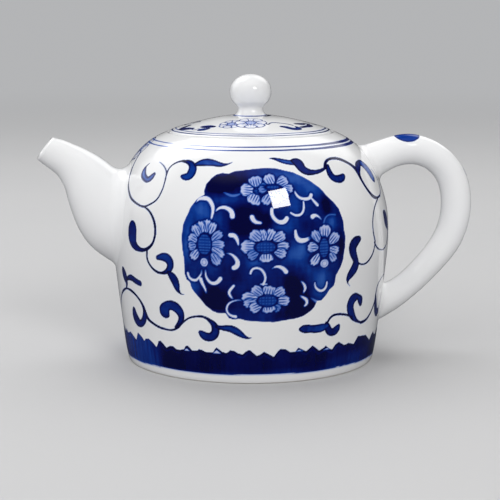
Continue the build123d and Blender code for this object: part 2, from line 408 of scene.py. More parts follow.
def build_pot():
    pot = Surface()
    pot.skin(rings(POT_ROWS))
    rim = pot.punch(
        through_wall, on_wall, lambda verts: (verts[:, 0] < -35) & (verts[:, 2] > 8), HOLE_RADIUS
    )
    outer, inner = rim[on_outside(rim)], rim[~on_outside(rim)]
    pot.strip(pot.by_angle(inner, through_wall, -1), pot.by_angle(outer, through_wall, -1))
    return pot


def pot_unglazed():
    """the resting face of the foot and the ledge under the lid"""
    radius, z = row_places(POT_ROWS).T
    foot = smooth((0.5 - z) / 0.35) * (radius > 39.5)
    ledge = smooth(1 - np.abs(z - LEDGE_Z) / 0.35) * (radius > 25.6) * (radius < 29.25)
    return np.maximum(foot, ledge)


def wall_distance(points):
    """signed distance from the pot's outside, and its outward direction"""
    radius = np.hypot(points[..., 0], points[..., 1])
    flat = np.stack([radius, points[..., 2]], -1)
    profile = np.stack([OUT_R, OUT_Z], -1)
    best = np.full(flat.shape[:-1], 1e9)
    normal_r, normal_z = np.zeros_like(best), np.zeros_like(best)
    for i in range(0, len(profile) - 1, 2):
        start = profile[i]
        step = profile[min(i + 2, len(profile) - 1)] - start
        share = np.clip(((flat - start) @ step) / (step @ step), 0, 1)
        away = flat - start - share[..., None] * step
        distance = np.hypot(away[..., 0], away[..., 1])
        normal = np.array([step[1], -step[0]]) / np.hypot(*step)
        better = distance < np.abs(best)
        best = np.where(better, distance * np.where(away @ normal >= 0, 1.0, -1.0), best)
        normal_r = np.where(better, normal[0], normal_r)
        normal_z = np.where(better, normal[1], normal_z)
    scale = normal_r / np.maximum(radius, 1e-9)
    return best, np.stack([scale * points[..., 0], scale * points[..., 1], normal_z], -1)


# ----------------------------------------------------------- spout and handle
def wall_crossing(tube, around, span):
    """a function giving, per column, how far along a tube it first lies target off the wall"""
    along = np.linspace(0, span, 240)
    depth, _ = wall_distance(tube(along[:, None], around))
    depth = np.maximum.accumulate(depth, 0) + 1e-6 * along[:, None]

    def crossing(target):
        goals = np.broadcast_to(np.asarray(target, float), around.shape)
        return np.array([np.interp(goal, column, along) for goal, column in zip(goals, depth.T)])

    return crossing


def luted(tube, around, steps, flare, sink, span):
    """one end of a tube run into the wall with a tangent, rounded root.
    tube(along, around) gives points from the buried end; at span it surely lies clear.
    Returns rows from the buried edge outwards and, per column, where the plain tube begins"""
    crossing = wall_crossing(tube, around, span)
    nudge = 1e-3
    rows = []
    for turn in np.radians(np.linspace(90, 0, steps)):
        off_wall = flare * (1 - math.sin(turn))
        along = crossing(off_wall)
        points = tube(along, around)
        lengthwise = tube(along + nudge, around) - tube(along - nudge, around)
        crosswise = tube(along, around + nudge) - tube(along, around - nudge)
        normal = np.cross(crosswise, lengthwise)
        normal /= np.linalg.norm(normal, axis=-1, keepdims=True)
        side = np.sign(((points - points.mean(0)) * normal).sum(-1, keepdims=True))
        normal = normal * np.where(side == 0, 1, side)
        _, wall_normal = wall_distance(points)
        spread = normal - (normal * wall_normal).sum(-1, keepdims=True) * wall_normal
        spread /= np.maximum(np.linalg.norm(spread, axis=-1, keepdims=True), 1e-6)
        points = points + np.reshape(flare * (1 - math.cos(turn)), (-1, 1)) * spread
        for _ in range(4):
            distance, wall_normal = wall_distance(points)
            points = points + (off_wall - distance)[:, None] * wall_normal
        rows.append(points)
    _, wall_normal = wall_distance(rows[0])
    buried = [rows[0] - depth * wall_normal for depth in sink]
    return buried[::-1] + rows, along


spout_curve = Curve(SPOUT, dims=4)
SPOUT_ROOT_SPAN = spout_curve.length * 0.62
LIP, BORE_INSET = 1.75, 2.5     # thickness of the spout at its mouth and at its root


def spout_at(along, around, inset=0.0):
    """around is 0 on the upper side; inset moves the point inwards"""
    station = spout_curve(along)
    upper, lower = station[..., 0:2], station[..., 2:4]
    middle, half = (upper + lower) / 2, (upper - lower) / 2
    reach_out = np.linalg.norm(half, axis=-1)
    part = (reach_out - inset) / reach_out
    x = middle[..., 0] + half[..., 0] * part * np.cos(around)
    z = middle[..., 1] + half[..., 1] * part * np.cos(around)
    y = (station[..., 4] - inset) * np.sin(around)
    return np.stack([x, y, z], -1)


def build_spout():
    around = np.linspace(0, 2 * math.pi, SPOUT_COLUMNS, endpoint=False)
    mouth = spout_curve.length - LIP * 0.5
    # tighter under the spout, and widest in the saddle above it
    up = np.cos(around)
    flare = 4.2 - 2.9 * smooth(0.15 - up) + 1.2 * smooth((up - 0.1) / 0.9)
    rows, begin = luted(spout_at, around, 16, flare, sink=(0.5, 1.1), span=SPOUT_ROOT_SPAN)
    for share in np.linspace(0, 1, 130)[1:]:
        rows.append(spout_at(begin + (mouth - begin) * share, around))
    # rounded lip, then back down the bore
    station = spout_curve(np.array([mouth]))[0]
    across = np.array([station[0] - station[2], 0, station[1] - station[3]])
    across /= np.linalg.norm(across)
    outward = np.array([-across[2], 0, across[0]])
    mouths = np.full(SPOUT_COLUMNS, mouth)
    outer, inner = spout_at(mouths, around), spout_at(mouths, around, LIP)
    centre = (outer + inner) / 2
    for turn in np.radians(np.linspace(0, 180, 13)[1:]):
        rows.append(
            centre + (outer - centre) * math.cos(turn) + outward * LIP * 0.5 * math.sin(turn)
        )
    bore = wall_crossing(
        lambda along, around: spout_at(along, around, BORE_INSET), around, SPOUT_ROOT_SPAN
    )
    bore_end = bore(-0.6)
    for share in np.linspace(0, 1, 70)[1:]:
        inset = LIP + (BORE_INSET - LIP) * share
        rows.append(spout_at(mouth + (bore_end - mouth) * share, around, inset))
    spout = Surface()
    made = spout.skin(rows)
    spout.strip(made[-1], made[0])
    return spout


handle_curve = Curve(HANDLE)
HANDLE_LENGTH = handle_curve.length


def handle_at(along, around):
    """around is 0 on the outer side of the ear"""
    station = handle_curve(along)
    nudge = 0.05
    ahead = handle_curve(np.clip(along + nudge, 0, HANDLE_LENGTH))[..., :2]
    behind = handle_curve(np.clip(along - nudge, 0, HANDLE_LENGTH))[..., :2]
    tangent = ahead - behind
    tangent /= np.linalg.norm(tangent, axis=-1, keepdims=True)
    # slightly slimmer between the four main directions
    fullness = 1.0 - 0.018 * (1 - np.cos(4 * around)) / 2
    out = station[..., 2] * np.cos(around) * fullness
    x = station[..., 0] - tangent[..., 1] * out
    z = station[..., 1] + tangent[..., 0] * out
    y = station[..., 3] * np.sin(around) * fullness
    return np.stack([x, y, z], -1)


def cap(surface, row, ids, flip):
    """closes a buried end, 0.9 mm inside the wall's face"""
    def sunk(points):
        distance, normal = wall_distance(points)
        return surface.add(points + (-0.9 - distance)[:, None] * normal)

    centre = row.mean(0)
    loops = [ids] + [sunk(centre + (row - centre) * part) for part in (0.7, 0.4, 0.15)]
    loops.append(sunk(centre[None]))
    for one, two in zip(loops, loops[1:]):
        surface.strip(*((two, one) if flip else (one, two)))


def build_handle():
    around = np.linspace(0, 2 * math.pi, HANDLE_COLUMNS, endpoint=False)
    root = dict(steps=12, sink=(0.4, 0.9), span=HANDLE_LENGTH * 0.22)
    upper, begin = luted(handle_at, around, flare=np.full(HANDLE_COLUMNS, 2.6), **root)
    low_flare = 2.8 - 1.5 * smooth(0.2 + np.cos(around))     # tighter on the outer side
    lower, from_end = luted(
        lambda along, around: handle_at(HANDLE_LENGTH - along, around),
        around, flare=low_flare, **root,
    )
    end = HANDLE_LENGTH - from_end
    rows = list(upper)
    for share in np.linspace(0, 1, 430)[1:-1]:
        rows.append(handle_at(begin + (end - begin) * share, around))
    rows += lower[::-1]
    handle = Surface()
    made = handle.skin(rows, flip=True)
    cap(handle, rows[0], made[0], flip=False)
    cap(handle, rows[-1], made[-1], flip=True)
    return handle


# ------------------------------------------------------------ lid and knob
lid_top = resample(Curve(LID_TOP).sample(400), PAINT_PITCH)[::-1]    # axis outwards
lid_painted = lid_top[lid_top[:, 0] > 5.6]
lid_under = resample(Curve(LID_UNDER).sample(300), 0.6)              # flange to axis
LID_R, LID_Z = lid_painted[:, 0] * LID_FIT, lid_painted[:, 1]
LID_TOP_ABOVE = 84.0         # about the vent, the top lies above this and the underside below

LID_CENTRE_ROWS = [
    (0.0, 87.35, 1), (0.8, 87.34, 60), (2.2, 87.31, 60), (3.8, 87.25, 180), (5.2, 87.18, 180),
]
LID_ROWS = (
    LID_CENTRE_ROWS
    + spun(lid_painted, LID_COLUMNS)
    + spun(arc((28.25, 81.42), 0.6, 68, 4, 7) + [(LID_RADIUS, 81.1)], LID_COLUMNS)
    + spun(
        [(LID_RADIUS, 80.7), (LID_RADIUS, 80.2), (LID_RADIUS, 79.8)]
        + arc((28.5, 79.6), 0.35, 0, -85, 4)
        + [(radius, LID_SEAT_Z) for radius in (27.8, 27.0, 26.2, 25.4)]
        + [(24.95, 79.1), (24.88, 78.6)]
        + [(24.9 - 0.5 * share, 78.0 - 6.0 * share) for share in np.linspace(0, 1, 8)]
        + arc((23.5, 72.1), 0.9, -8, -172, 11)
        + [(22.5, z) for z in np.linspace(72.6, 80.2, 10)]
        + [(radius, z) for radius, z in lid_under[1:] if radius > 8.0],
        LID_PLAIN_COLUMNS,
    )
    + [(6.5, 84.58, 90), (4.5, 84.72, 90), (2.6, 84.80, 90), (1.0, 84.84, 30), (0.0, 84.85, 1)]
)
lid_first = sum(count for _, _, count in LID_CENTRE_ROWS)


def through_lid(verts):
    return np.stack([verts[:, 0], verts[:, 1] - VENT_Y], -1)


def on_lid(verts, places, ids):
    x, y = places[:, 0], places[:, 1] + VENT_Y
    radius = np.hypot(x, y)
    z = np.where(
        verts[:, 2] > LID_TOP_ABOVE,
        np.interp(radius, LID_R, LID_Z),
        np.interp(radius, lid_under[::-1, 0], lid_under[::-1, 1]),
    )
    return np.stack([x, y, z], -1)


def build_lid():
    lid = Surface()
    # these rows run clockwise in the profile plane, so the strips are flipped
    lid.skin(rings([(radius * LID_FIT, z, count) for radius, z, count in LID_ROWS]), flip=True)
    vent = lid.punch(through_lid, on_lid, lambda verts: verts[:, 2] > 80, VENT_RADIUS)
    above = lid.verts()[vent, 2] > LID_TOP_ABOVE
    lid.strip(lid.by_angle(vent[~above], through_lid), lid.by_angle(vent[above], through_lid))
    return lid


def lid_unglazed():
    """the face that sits on the ledge"""
    radius, z = row_places(LID_ROWS).T
    return smooth(1 - np.abs(z - LID_SEAT_Z) / 0.5) * (radius > 24.8)


def build_knob():
    ball_z, ball_radius, ball_half = 95.75, 7.42, 6.15
    full = 2 / 2.3                      # the ball is a little full below its middle
    start = -math.asin(((ball_z - BALL_BASE[1]) / ball_half) ** (1 / full))
    ball = [BALL_BASE]
    for turn in np.linspace(start, math.pi / 2, 30)[1:]:
        power = full if turn < 0 else 1.0
        rise = math.copysign(abs(math.sin(turn)) ** power, turn)
        ball.append((ball_radius * math.cos(turn) ** power, ball_z + ball_half * rise))
    line = np.concatenate([Curve(KNOB_NECK).sample(120), Curve(ball).sample(260)[1:]])
    line = resample(line, 0.3)
    # ease the meeting of neck and ball, as glaze does
    for _ in range(6):
        line[1:-1] = line[1:-1] * 0.5 + (line[:-2] + line[2:]) * 0.25
    stretch = (KNOB_HIGH - KNOB_BASE) / (KNOB_TOP - KNOB_BASE)
    side = [
        (radius, KNOB_BASE + (z - KNOB_BASE) * stretch, KNOB_COLUMNS)
        for radius, z in line if radius > 1.2
    ]
    base = [(0.0, KNOB_BASE, 1), (2.5, KNOB_BASE, 32), (5.5, KNOB_BASE, KNOB_COLUMNS)]
    knob = Surface()
    knob.skin(rings(base + side + [(0.55, KNOB_HIGH - 0.02, 32), (0.0, KNOB_HIGH, 1)]))
    return knob


# --------------------------------------------------------- painting: tables
# tone of the cobalt: 0 bare glaze, 0.35 a light wash, 0.6 royal blue, 1 pooled navy
BLEED = 0.30            # how far a brush edge bleeds under the glaze, mm

# strokes of the vine: kind, then (angle, height, width in mm)
VINES = [
    ("line", [
        (-81.9, 74.5, 0.48), (-80.1, 72.5, 0.6), (-78.2, 69.7, 0.66), (-76, 67, 0.72),
        (-73.8, 64.7, 0.72), (-70.5, 62.5, 0.78), (-66.7, 60.6, 0.81), (-62.6, 59.5, 0.64),
        (-58.8, 58.8, 0.58), (-55.3, 58.6, 0.58), (-52.2, 59.5, 0.53), (-49.9, 60.5, 0.5),
        (-48, 62, 0.49), (-47, 63.9, 0.46), (-46.5, 66, 0.42), (-46.7, 68.1, 0.46),
        (-47.2, 69.9, 0.44), (-49.4, 71.6, 0.29), (-52.5, 72.7, 0.2), (-55.4, 73.3, 0.11)]),
    ("line", [
        (-47, 69.9, 0.4), (-46.9, 71.7, 0.46), (-45.2, 73.2, 0.5), (-42.9, 74, 0.63),
        (-40.3, 74.4, 0.76)]),
    ("leaf", [
        (-41.1, 74.2, 0.63), (-38.2, 74.2, 1.46), (-35.4, 73.5, 2.13), (-34, 72.3, 2.84),
        (-33.9, 70.8, 3.21), (-34.7, 69.8, 2.94), (-36.8, 69.5, 2.22), (-38.2, 69.6, 1.16)]),
    ("blade", [
        (-32.9, 73.5, 1.42), (-29.7, 74.2, 2.74), (-26.4, 74.3, 2.81), (-23, 74, 2.13),
        (-19.7, 73.7, 1.37), (-17, 74, 0.47), (-15.2, 74.5, 0.1)]),
    ("pale", [
        (-62.4, 72.4, 0.23), (-63.7, 71.4, 0.72), (-63.8, 70.2, 1.88), (-62.9, 68.9, 2.54),
        (-60.3, 67.7, 2.15), (-57.7, 67.4, 2.17), (-56, 68.2, 2.35), (-55, 69.2, 1.58)]),
    ("line", [
        (-55.3, 58.6, 0.45), (-51.8, 57.5, 0.62), (-48.8, 55.3, 0.81), (-47.2, 52.5, 0.91),
        (-47, 50, 0.92)]),
    ("dark", [
        (-47.1, 49.4, 0.86), (-48.1, 47.1, 0.83), (-50.5, 45.1, 1.01), (-54, 44, 1.23),
        (-57.7, 44.3, 2.3), (-60.2, 45.6, 3.7), (-61.3, 47.6, 5.0), (-61.5, 49.6, 5.3),
        (-61.6, 51.0, 4.6), (-61.9, 52.0, 2.6)]),
    ("line", [
        (-51.4, 44.2, 0.69), (-51.6, 41.2, 0.7), (-50.1, 39.1, 0.67), (-47.9, 37.7, 0.77),
        (-44.9, 37, 0.86), (-42, 37.4, 1.13)]),
    ("leaf", [
        (-43.4, 37.2, 0.77), (-40.5, 38.4, 2.07), (-39.5, 40.8, 2.87), (-40.9, 42.4, 3.19),
        (-43.5, 42.6, 2.51), (-45.7, 42.2, 1.53)]),
    ("deep", [
        (-40.8, 37.6, 1.04), (-38.9, 36.3, 2.8), (-37.7, 34.7, 3.04), (-37.1, 33.1, 2.38),
        (-36.5, 31.6, 1.34), (-35.3, 30.6, 0.38), (-33.9, 30.4, 0.1)]),
    ("dark", [
        (-71.8, 34.8, 2.4), (-71.2, 33.4, 3.9), (-70.3, 32.0, 3.3), (-69.7, 30.3, 1.8),
        (-70.5, 28.7, 0.9)]),
    ("dark", [
        (-69.4, 31.6, 0.9), (-67.0, 32.6, 1.6), (-64.1, 33.0, 2.2), (-61.2, 32.4, 2.2),
        (-57.8, 31.9, 2.0)]),
    ("line", [
        (-82.3, 12.6, 0.42), (-86.2, 15, 0.42), (-87.2, 18, 0.49), (-83.2, 21.8, 0.56),
        (-78.5, 25.2, 0.7), (-74.1, 27.3, 0.83), (-70.2, 28.4, 0.57), (-66.3, 28.3, 0.91),
        (-62.4, 27.3, 0.89), (-59.8, 26, 0.87), (-57.7, 24.2, 1.22), (-56.5, 22.1, 1.54),
        (-55, 19.9, 1.23), (-52.2, 18.6, 0.87), (-48.3, 17.6, 0.75), (-44.1, 17.2, 0.66),
        (-40, 17.6, 0.59), (-37.5, 18.9, 0.82)]),
    ("dark", [
        (-65.2, 21.4, 2.2), (-65.0, 19.6, 3.6), (-63.6, 17.9, 3.9), (-61.0, 17.2, 2.7),
        (-58.4, 18.4, 2.5), (-57.0, 20.6, 2.2), (-57, 22.3, 1.3)]),
    ("deep", [
        (-39.3, 18.6, 0.6), (-36.9, 20.5, 1.63), (-35.9, 22.4, 2.36), (-36.6, 24.3, 3.11),
        (-38.5, 25.7, 3.51), (-40.9, 26.1, 3.33), (-43.4, 25.2, 3.57), (-44.3, 23.5, 4.33),
        (-43.3, 22.7, 2.62)]),
    ("line", [
        (-37.5, 18.9, 0.65), (-35, 20.8, 0.52), (-32.2, 22.4, 0.51), (-28.7, 23.2, 0.6),
        (-25.4, 23.1, 0.75), (-23.5, 22.3, 1.05)]),
    ("deep", [
        (-23.7, 22.3, 0.99), (-21.7, 20.9, 2.01), (-20.9, 18.9, 2.63), (-21.9, 16.9, 2.91),
        (-24.4, 16.2, 2.99), (-26.4, 16.9, 2.58), (-27.4, 17.6, 1.6)]),
    ("leaf", [
        (-20.4, 20.1, 1.02), (-17.6, 19.7, 1.75), (-14.5, 19.5, 2.43), (-11.8, 18.4, 2.41),
        (-9.5, 17.1, 1.53), (-7.6, 16.4, 0.61), (-6.1, 16.4, 0.1)]),
    ("blade", [
        (2.7, 75.7, 0.1), (4.6, 75.6, 0.69), (7.6, 75.1, 1.54), (10.9, 74.5, 1.88),
        (14, 74.2, 2.01)]),
    ("deep", [
        (14.4, 74.7, 1.75), (16.4, 74.2, 3.41), (17.3, 72.8, 3.21), (19.1, 71.5, 2.83),
        (21.8, 71, 2.04), (24.7, 71, 1.46), (28.1, 71.5, 1.06), (30.3, 72, 0.71)]),
    ("line", [
        (29.7, 71.9, 0.81), (31.5, 73.5, 0.91), (34.6, 74.5, 0.86), (38.3, 74.7, 1.02),
        (42.3, 74.2, 1.2), (45.8, 73.1, 1.21), (49, 71.6, 1.42), (50.7, 69.8, 1.95),
        (51, 67.7, 1.48), (52, 65.2, 1.15), (54.2, 62.6, 1.17), (57.4, 60.6, 1.25),
        (61.7, 59.9, 0.56), (65.9, 60.2, 0.76)]),
    ("deep", [
        (32.2, 72.6, 1.26), (31.6, 70.7, 2.32), (32.4, 69, 2.67), (34.7, 68.2, 2.67),
        (37.9, 68.5, 2.48), (39.3, 69, 1.56)]),
    ("grey", [
        (55.8, 72.0, 1.6), (59.2, 71.7, 3.0), (61.6, 70.2, 3.9), (63.2, 68.5, 4.5),
        (64.0, 67.0, 4.0), (64.4, 65.8, 1.8)]),
    ("dark", [(51.0, 68.4, 1.2), (51.9, 70.0, 2.4), (54.2, 71.4, 2.7), (57.2, 72.3, 1.5)]),
    ("line", [
        (61.3, 59.5, 0.52), (56.1, 57.3, 0.52), (52.8, 53.9, 0.52), (52, 49.9, 0.52),
        (53.8, 45.5, 0.64)]),
    ("line", [(53, 45.3, 0.5), (55.5, 43.3, 0.49), (59.1, 42, 0.31), (63.6, 41.4, 0.23)]),
    ("line", [
        (53.8, 45.5, 0.58), (52.6, 42.3, 0.64), (50.2, 40.1, 0.67), (47.4, 38.8, 0.59),
        (44.5, 38.6, 0.41), (41.2, 39.5, 0.59)]),
    ("dark", [
        (41.7, 47.7, 2), (40, 47.2, 3.33), (38, 45.7, 3.88), (38, 43.7, 3.43),
        (38.9, 42, 2.82), (39.9, 40.2, 2.76), (39.9, 38.8, 3.52), (38.6, 37, 3.47),
        (37, 35.6, 2.71), (36.1, 34.2, 1.39), (36.2, 33.1, 0.44), (37.7, 31.8, 0.1)]),
    ("deep", [
        (46.2, 24.5, 1.72), (45.5, 26, 2.71), (43.8, 27.2, 1.91), (41.4, 27.3, 3.29),
        (39.6, 26.1, 3.73), (39.2, 24.2, 3.44), (40.2, 22.1, 3.12), (42.2, 20.1, 2.17),
        (45, 18.5, 1.06), (48, 17.5, 0.57)]),
    ("line", [
        (48, 17.5, 0.88), (52.3, 17.8, 0.93), (56.5, 19.8, 0.82), (59.1, 22.2, 0.82),
        (60.3, 25.2, 0.82), (60.5, 28, 0.64), (64, 30.3, 0.52), (74.8, 31, 0.41)]),
    ("dark", [
        (60.0, 25.8, 0.9), (61.1, 23.2, 2.1), (62.8, 20.2, 2.9), (66.0, 18.4, 2.8),
        (69.6, 19.6, 2.8), (71.2, 22.4, 2.2), (72.8, 25.4, 1.3)]),
    ("line", [
        (41.2, 20.3, 0.56), (37.9, 21.5, 0.6), (34, 22.3, 0.69), (31, 22.5, 0.7),
        (28.5, 21.8, 0.77), (27.1, 20.2, 0.71)]),
    ("dark", [
        (26.5, 20, 1.08), (27.4, 18.2, 2.48), (28.9, 16.6, 2.63), (30.9, 16.5, 2.92),
        (32.5, 17.4, 2.58), (33.2, 18.2, 1.33)]),
    ("leaf", [
        (14.5, 18.8, 1.33), (15.8, 18.8, 2.61), (18.5, 18.6, 2.78), (21.8, 18.4, 2.86),
        (24.9, 18.6, 2.73), (26.9, 18.9, 1.87)]),
]
# more of the same towards the spout and the handle
SIDE_VINES = [
    ("line", [
        (63.6, 41.4, 0.34), (68.6, 42.4, 0.55), (71.6, 44.8, 0.75), (72.9, 47.4, 0.9),
        (71.6, 50.0, 1.0)]),
    ("dark", [
        (66.0, 54.0, 2.0), (67.6, 52.6, 4.4), (69.4, 50.8, 4.8), (71.2, 49.2, 3.0),
        (73.0, 46.8, 1.0)]),
    ("line", [
        (65.9, 60.2, 0.45), (69.4, 61.9, 0.42), (71.4, 64.6, 0.40), (71.0, 67.2, 0.36),
        (68.6, 69.0, 0.3)]),
    ("line", [(-81.9, 74.5, 0.48), (-84.0, 76.0, 0.4), (-86.0, 76.6, 0.3)]),
    ("leaf", [
        (80.4, 42.6, 0.4), (82.6, 39.8, 1.3), (84.2, 36.8, 1.6), (84.6, 34.0, 1.2),
        (83.6, 31.6, 0.4)]),
    ("line", [(74.8, 31.0, 0.40), (79.5, 31.6, 0.38), (83.6, 31.8, 0.38), (90.0, 31.0, 0.4)]),
]
# core tone, rim tone, how much darker it starts than it ends, width of the rim in mm
LOOKS = {
    "line": (0.95, 0.99, 0.0, 0.58), "leaf": (0.73, 1.00, 0.10, 0.58),
    "blade": (0.60, 0.98, 0.12, 0.58), "pale": (0.46, 1.00, 0.0, 0.78),
    "dark": (0.86, 1.02, 0.06, 0.58), "grey": (0.55, 1.00, 0.10, 0.58),
    "deep": (0.81, 1.02, 0.08, 0.58),
}
# (angle, height) around the roundel's wash
ROUNDEL = [
    (-33.9, 50.5), (-33.6, 54), (-32.7, 56.8), (-31.4, 59.5), (-29.8, 61.6), (-29.1, 62.6),
    (-27.8, 63.5), (-25.8, 64.2), (-25.9, 65.4), (-25.3, 67.6), (-23.7, 69.3), (-21.5, 70.6),
    (-18.7, 71.2), (-16.2, 71), (-12.9, 71.8), (-9, 72.3), (-4, 72.7), (1, 72.8), (5, 72.7),
    (8.9, 72), (13.2, 71.2), (17.4, 69.4), (21, 67.8), (24.1, 65.7), (27, 62.9), (29.6, 60.7),
    (31.6, 58.7), (32.5, 55.8), (33.2, 53.2), (33.5, 49.5), (33.6, 45.8), (32.9, 42.2), (31.4, 39),
    (29.5, 36.5), (29.2, 33.9), (28.8, 32.8), (26.8, 31.7), (25.4, 30.1), (23.2, 28.1), (20.9, 28),
    (20.4, 27.1), (19.8, 26.1), (18.8, 25.25), (17.4, 24.4), (15.6, 23.6), (13, 22.9), (9.8, 22.4),
    (5.6, 21.95), (2.3, 21.8), (-2.6, 22.1), (-7.8, 22.5), (-10.4, 23.1), (-13.1, 22.8),
    (-15.2, 23.4), (-16.5, 25), (-19.6, 24.8), (-21.9, 25.4), (-24.5, 27.1), (-26.7, 29),
    (-28.4, 30.9), (-30.1, 33), (-30.8, 34.9), (-32.3, 35.7), (-32.9, 37.7), (-32.7, 41),
    (-33.2, 44), (-33.7, 47.2),
]
# white curls left in the wash: (angle, height, width)
CURLS = [
    [(-29, 61.6, 0.35), (-27.9, 62.7, 0.92), (-26.1, 63.1, 1.41), (-24, 62.9, 1.55),
     (-22.4, 61.6, 1.48), (-21.5, 59.8, 1.27), (-21.6, 58.3, 0.99), (-21.9, 56.7, 0.64)],
    [(-20.2, 59.2, 0.49), (-19.2, 60, 0.85), (-17.4, 60.4, 1.2), (-15.4, 60, 1.48),
     (-14, 59, 1.69), (-13.6, 57.6, 1.76)],
    [(-5.9, 57.4, 1.62), (-5.4, 56.5, 1.62), (-4.4, 55.8, 1.34), (-2.6, 55.5, 0.92)],
    [(2, 59.9, 1.2), (2, 58.2, 1.27), (3.1, 56.6, 1.34), (5.1, 55.6, 1.48), (7.1, 56, 1.62),
     (7.8, 56.8, 1.55)],
    [(12.2, 65.2, 0.56), (12.9, 64, 0.92), (14.5, 63, 1.13), (16.6, 62.7, 1.2), (18.4, 63, 1.2),
     (19.3, 63.9, 1.34)],
    [(19.2, 62.8, 0.71), (20.3, 61.7, 1.06), (21.4, 60.6, 1.27)],
    [(15.4, 61.8, 0.64), (15.3, 60.3, 0.85), (14.6, 58.6, 0.85), (13.2, 57.7, 0.92),
     (11.3, 57.7, 0.92), (9.6, 58.5, 0.71)],
    [(18.6, 56.9, 1.69), (20, 57.3, 1.13), (21.4, 56.7, 0.71), (22.4, 55.8, 0.42)],
    [(11.1, 52.6, 0.92), (11.3, 50.9, 1.41), (12.5, 49.5, 1.76), (14.5, 49.3, 1.62),
     (16.1, 49.7, 1.27), (17.9, 50.3, 0.85)],
    [(-14.2, 51.5, 1.55), (-12.7, 51.3, 1.55), (-11.7, 50.2, 1.27), (-11.1, 48.4, 0.64)],
    [(-15.9, 45.5, 0.28), (-14, 45.2, 0.71), (-12.2, 43.9, 1.27), (-11.4, 42.3, 1.62),
     (-11.9, 41.1, 1.76), (-12.9, 40.6, 1.62)],
    [(-6.5, 38.8, 0.85), (-5.9, 40, 0.85), (-4.4, 40.6, 0.85), (-2.8, 40.3, 0.92),
     (-1.4, 39, 0.99), (-0.8, 37.5, 0.92), (-1, 36, 0.85), (-1.6, 35, 0.92)],
    [(-2.5, 35, 0.64), (-0.2, 35, 0.64)],
    [(1.7, 40.2, 0.28), (3.1, 40.9, 0.71), (4.8, 40.8, 1.2), (6.3, 40.1, 1.48), (7.3, 39.1, 1.69)],
    [(-31.6, 38.1, 0.92), (-31.1, 36.7, 0.99), (-29.9, 35.9, 1.06), (-28.3, 35.8, 0.99),
     (-26.9, 36.9, 0.78), (-25.9, 38.2, 0.56), (-25.7, 39.5, 0.35)],
    [(-24.1, 39.5, 0.42), (-24, 37.6, 0.78), (-23.2, 36.1, 1.06), (-21.6, 35.1, 1.2),
     (-19.7, 35.4, 1.34), (-18.2, 36.8, 1.48)],
    [(-26.2, 36.3, 1.41), (-25.6, 34.8, 1.2), (-24.8, 33.5, 0.92), (-24.2, 31.9, 0.49)],
    [(-13, 34.5, 0.92), (-14.1, 33.4, 0.99), (-14.9, 32, 0.99), (-14.4, 30.9, 0.85),
     (-13.5, 30, 0.42)],
    [(-8.9, 29.2, 0.42), (-10.9, 29.6, 0.49), (-12.9, 29.3, 0.56), (-14.8, 28.5, 0.64),
     (-15.9, 27, 0.71), (-15.8, 25.4, 0.78), (-14.6, 24.3, 0.92), (-12.5, 23.8, 1.2)],
    [(13.7, 35.5, 0.42), (14.9, 34.4, 0.92), (15.5, 33, 0.99), (14.9, 31.6, 0.49)],
    [(13.5, 30.5, 0.35), (15, 29.8, 0.92), (16.3, 28.9, 1.2), (16.6, 27.8, 1.06),
     (15.7, 26.9, 0.64)],
    [(19.6, 34.6, 0.56), (19.9, 33.3, 0.78), (21.2, 32.1, 0.99), (22.8, 31.6, 1.06),
     (24.5, 32.3, 0.99), (25.1, 33.5, 0.85), (25.2, 34.4, 0.71)],
]
PALE_ARCS = [
    [(23.4, 54.6, 0.49), (24.2, 56, 0.49), (25.6, 56.9, 0.49), (27.4, 57.1, 0.49),
     (29.4, 56.9, 0.42)],
    [(-17.6, 65.1, 0.21), (-16.3, 64.7, 0.71), (-14.5, 64.2, 0.92), (-12.3, 64.3, 0.78),
     (-10.3, 64.9, 0.42)],
]
PALE_WEDGE = [(18.2, 29.5, 0.15), (19.3, 28.9, 0.5), (20.6, 28.2, 0.9), (21.9, 27.6, 1.2)]
# clouds in the wash: angle, height, extent across and up in mm, change of tone
CLOUDS = [
    (-15.8, 68.2, 6.7, 3.2, 0.22), (-21.2, 66.4, 3.9, 2.1, 0.2), (-10.9, 56.2, 3.9, 6.7, 0.2),
    (-2.7, 56.2, 4.9, 3.2, 0.18), (-20.4, 29.4, 6, 4.2, 0.24), (-14, 38.2, 4.2, 4.2, 0.1),
    (14.7, 27.1, 6, 4.9, 0.26), (11.2, 32.6, 3.2, 3.9, 0.16), (25.5, 59.4, 2.1, 4.6, 0.22),
    (31.1, 47.5, 1.8, 5.6, 0.16), (3.1, 23.9, 7.1, 2.1, 0.05), (-6.9, 54.8, 3.2, 2.8, 0.12),
    (16.4, 54.3, 4.2, 2.8, 0.06), (8.4, 35.4, 4.9, 3.9, 0.08), (12.7, 69.3, 6, 2.5, -0.2),
    (20.3, 65.6, 3.9, 2.5, -0.2), (3.7, 71.2, 5.6, 1.4, -0.12), (-25.7, 59, 3.2, 3.2, -0.18),
    (-31.5, 49.1, 1.8, 6.7, -0.22), (-15.3, 62.7, 5.3, 1.8, -0.16), (-17.9, 55, 2.1, 3.2, -0.08),
    (6.5, 54, 3.2, 2.1, -0.16), (13.4, 46.2, 2.5, 3.9, -0.24), (8.6, 44.6, 3.2, 3.2, -0.1),
    (26.8, 54.9, 2.1, 2.1, -0.26), (22.2, 36, 2.5, 3.2, -0.26), (20.7, 30.5, 3.2, 2.1, -0.16),
    (-4.9, 43, 2.1, 2.1, -0.22), (-29.2, 33.1, 2.1, 2.8, -0.18), (-21.3, 39.8, 2.1, 2.8, -0.12),
    (16.3, 39.4, 2.8, 3.2, -0.06), (-6.5, 59.4, 2.5, 2.1, 0.04), (-4.4, 39, 2.8, 2.1, -0.05),
    (11.6, 60.8, 2.1, 2.8, -0.06),
]
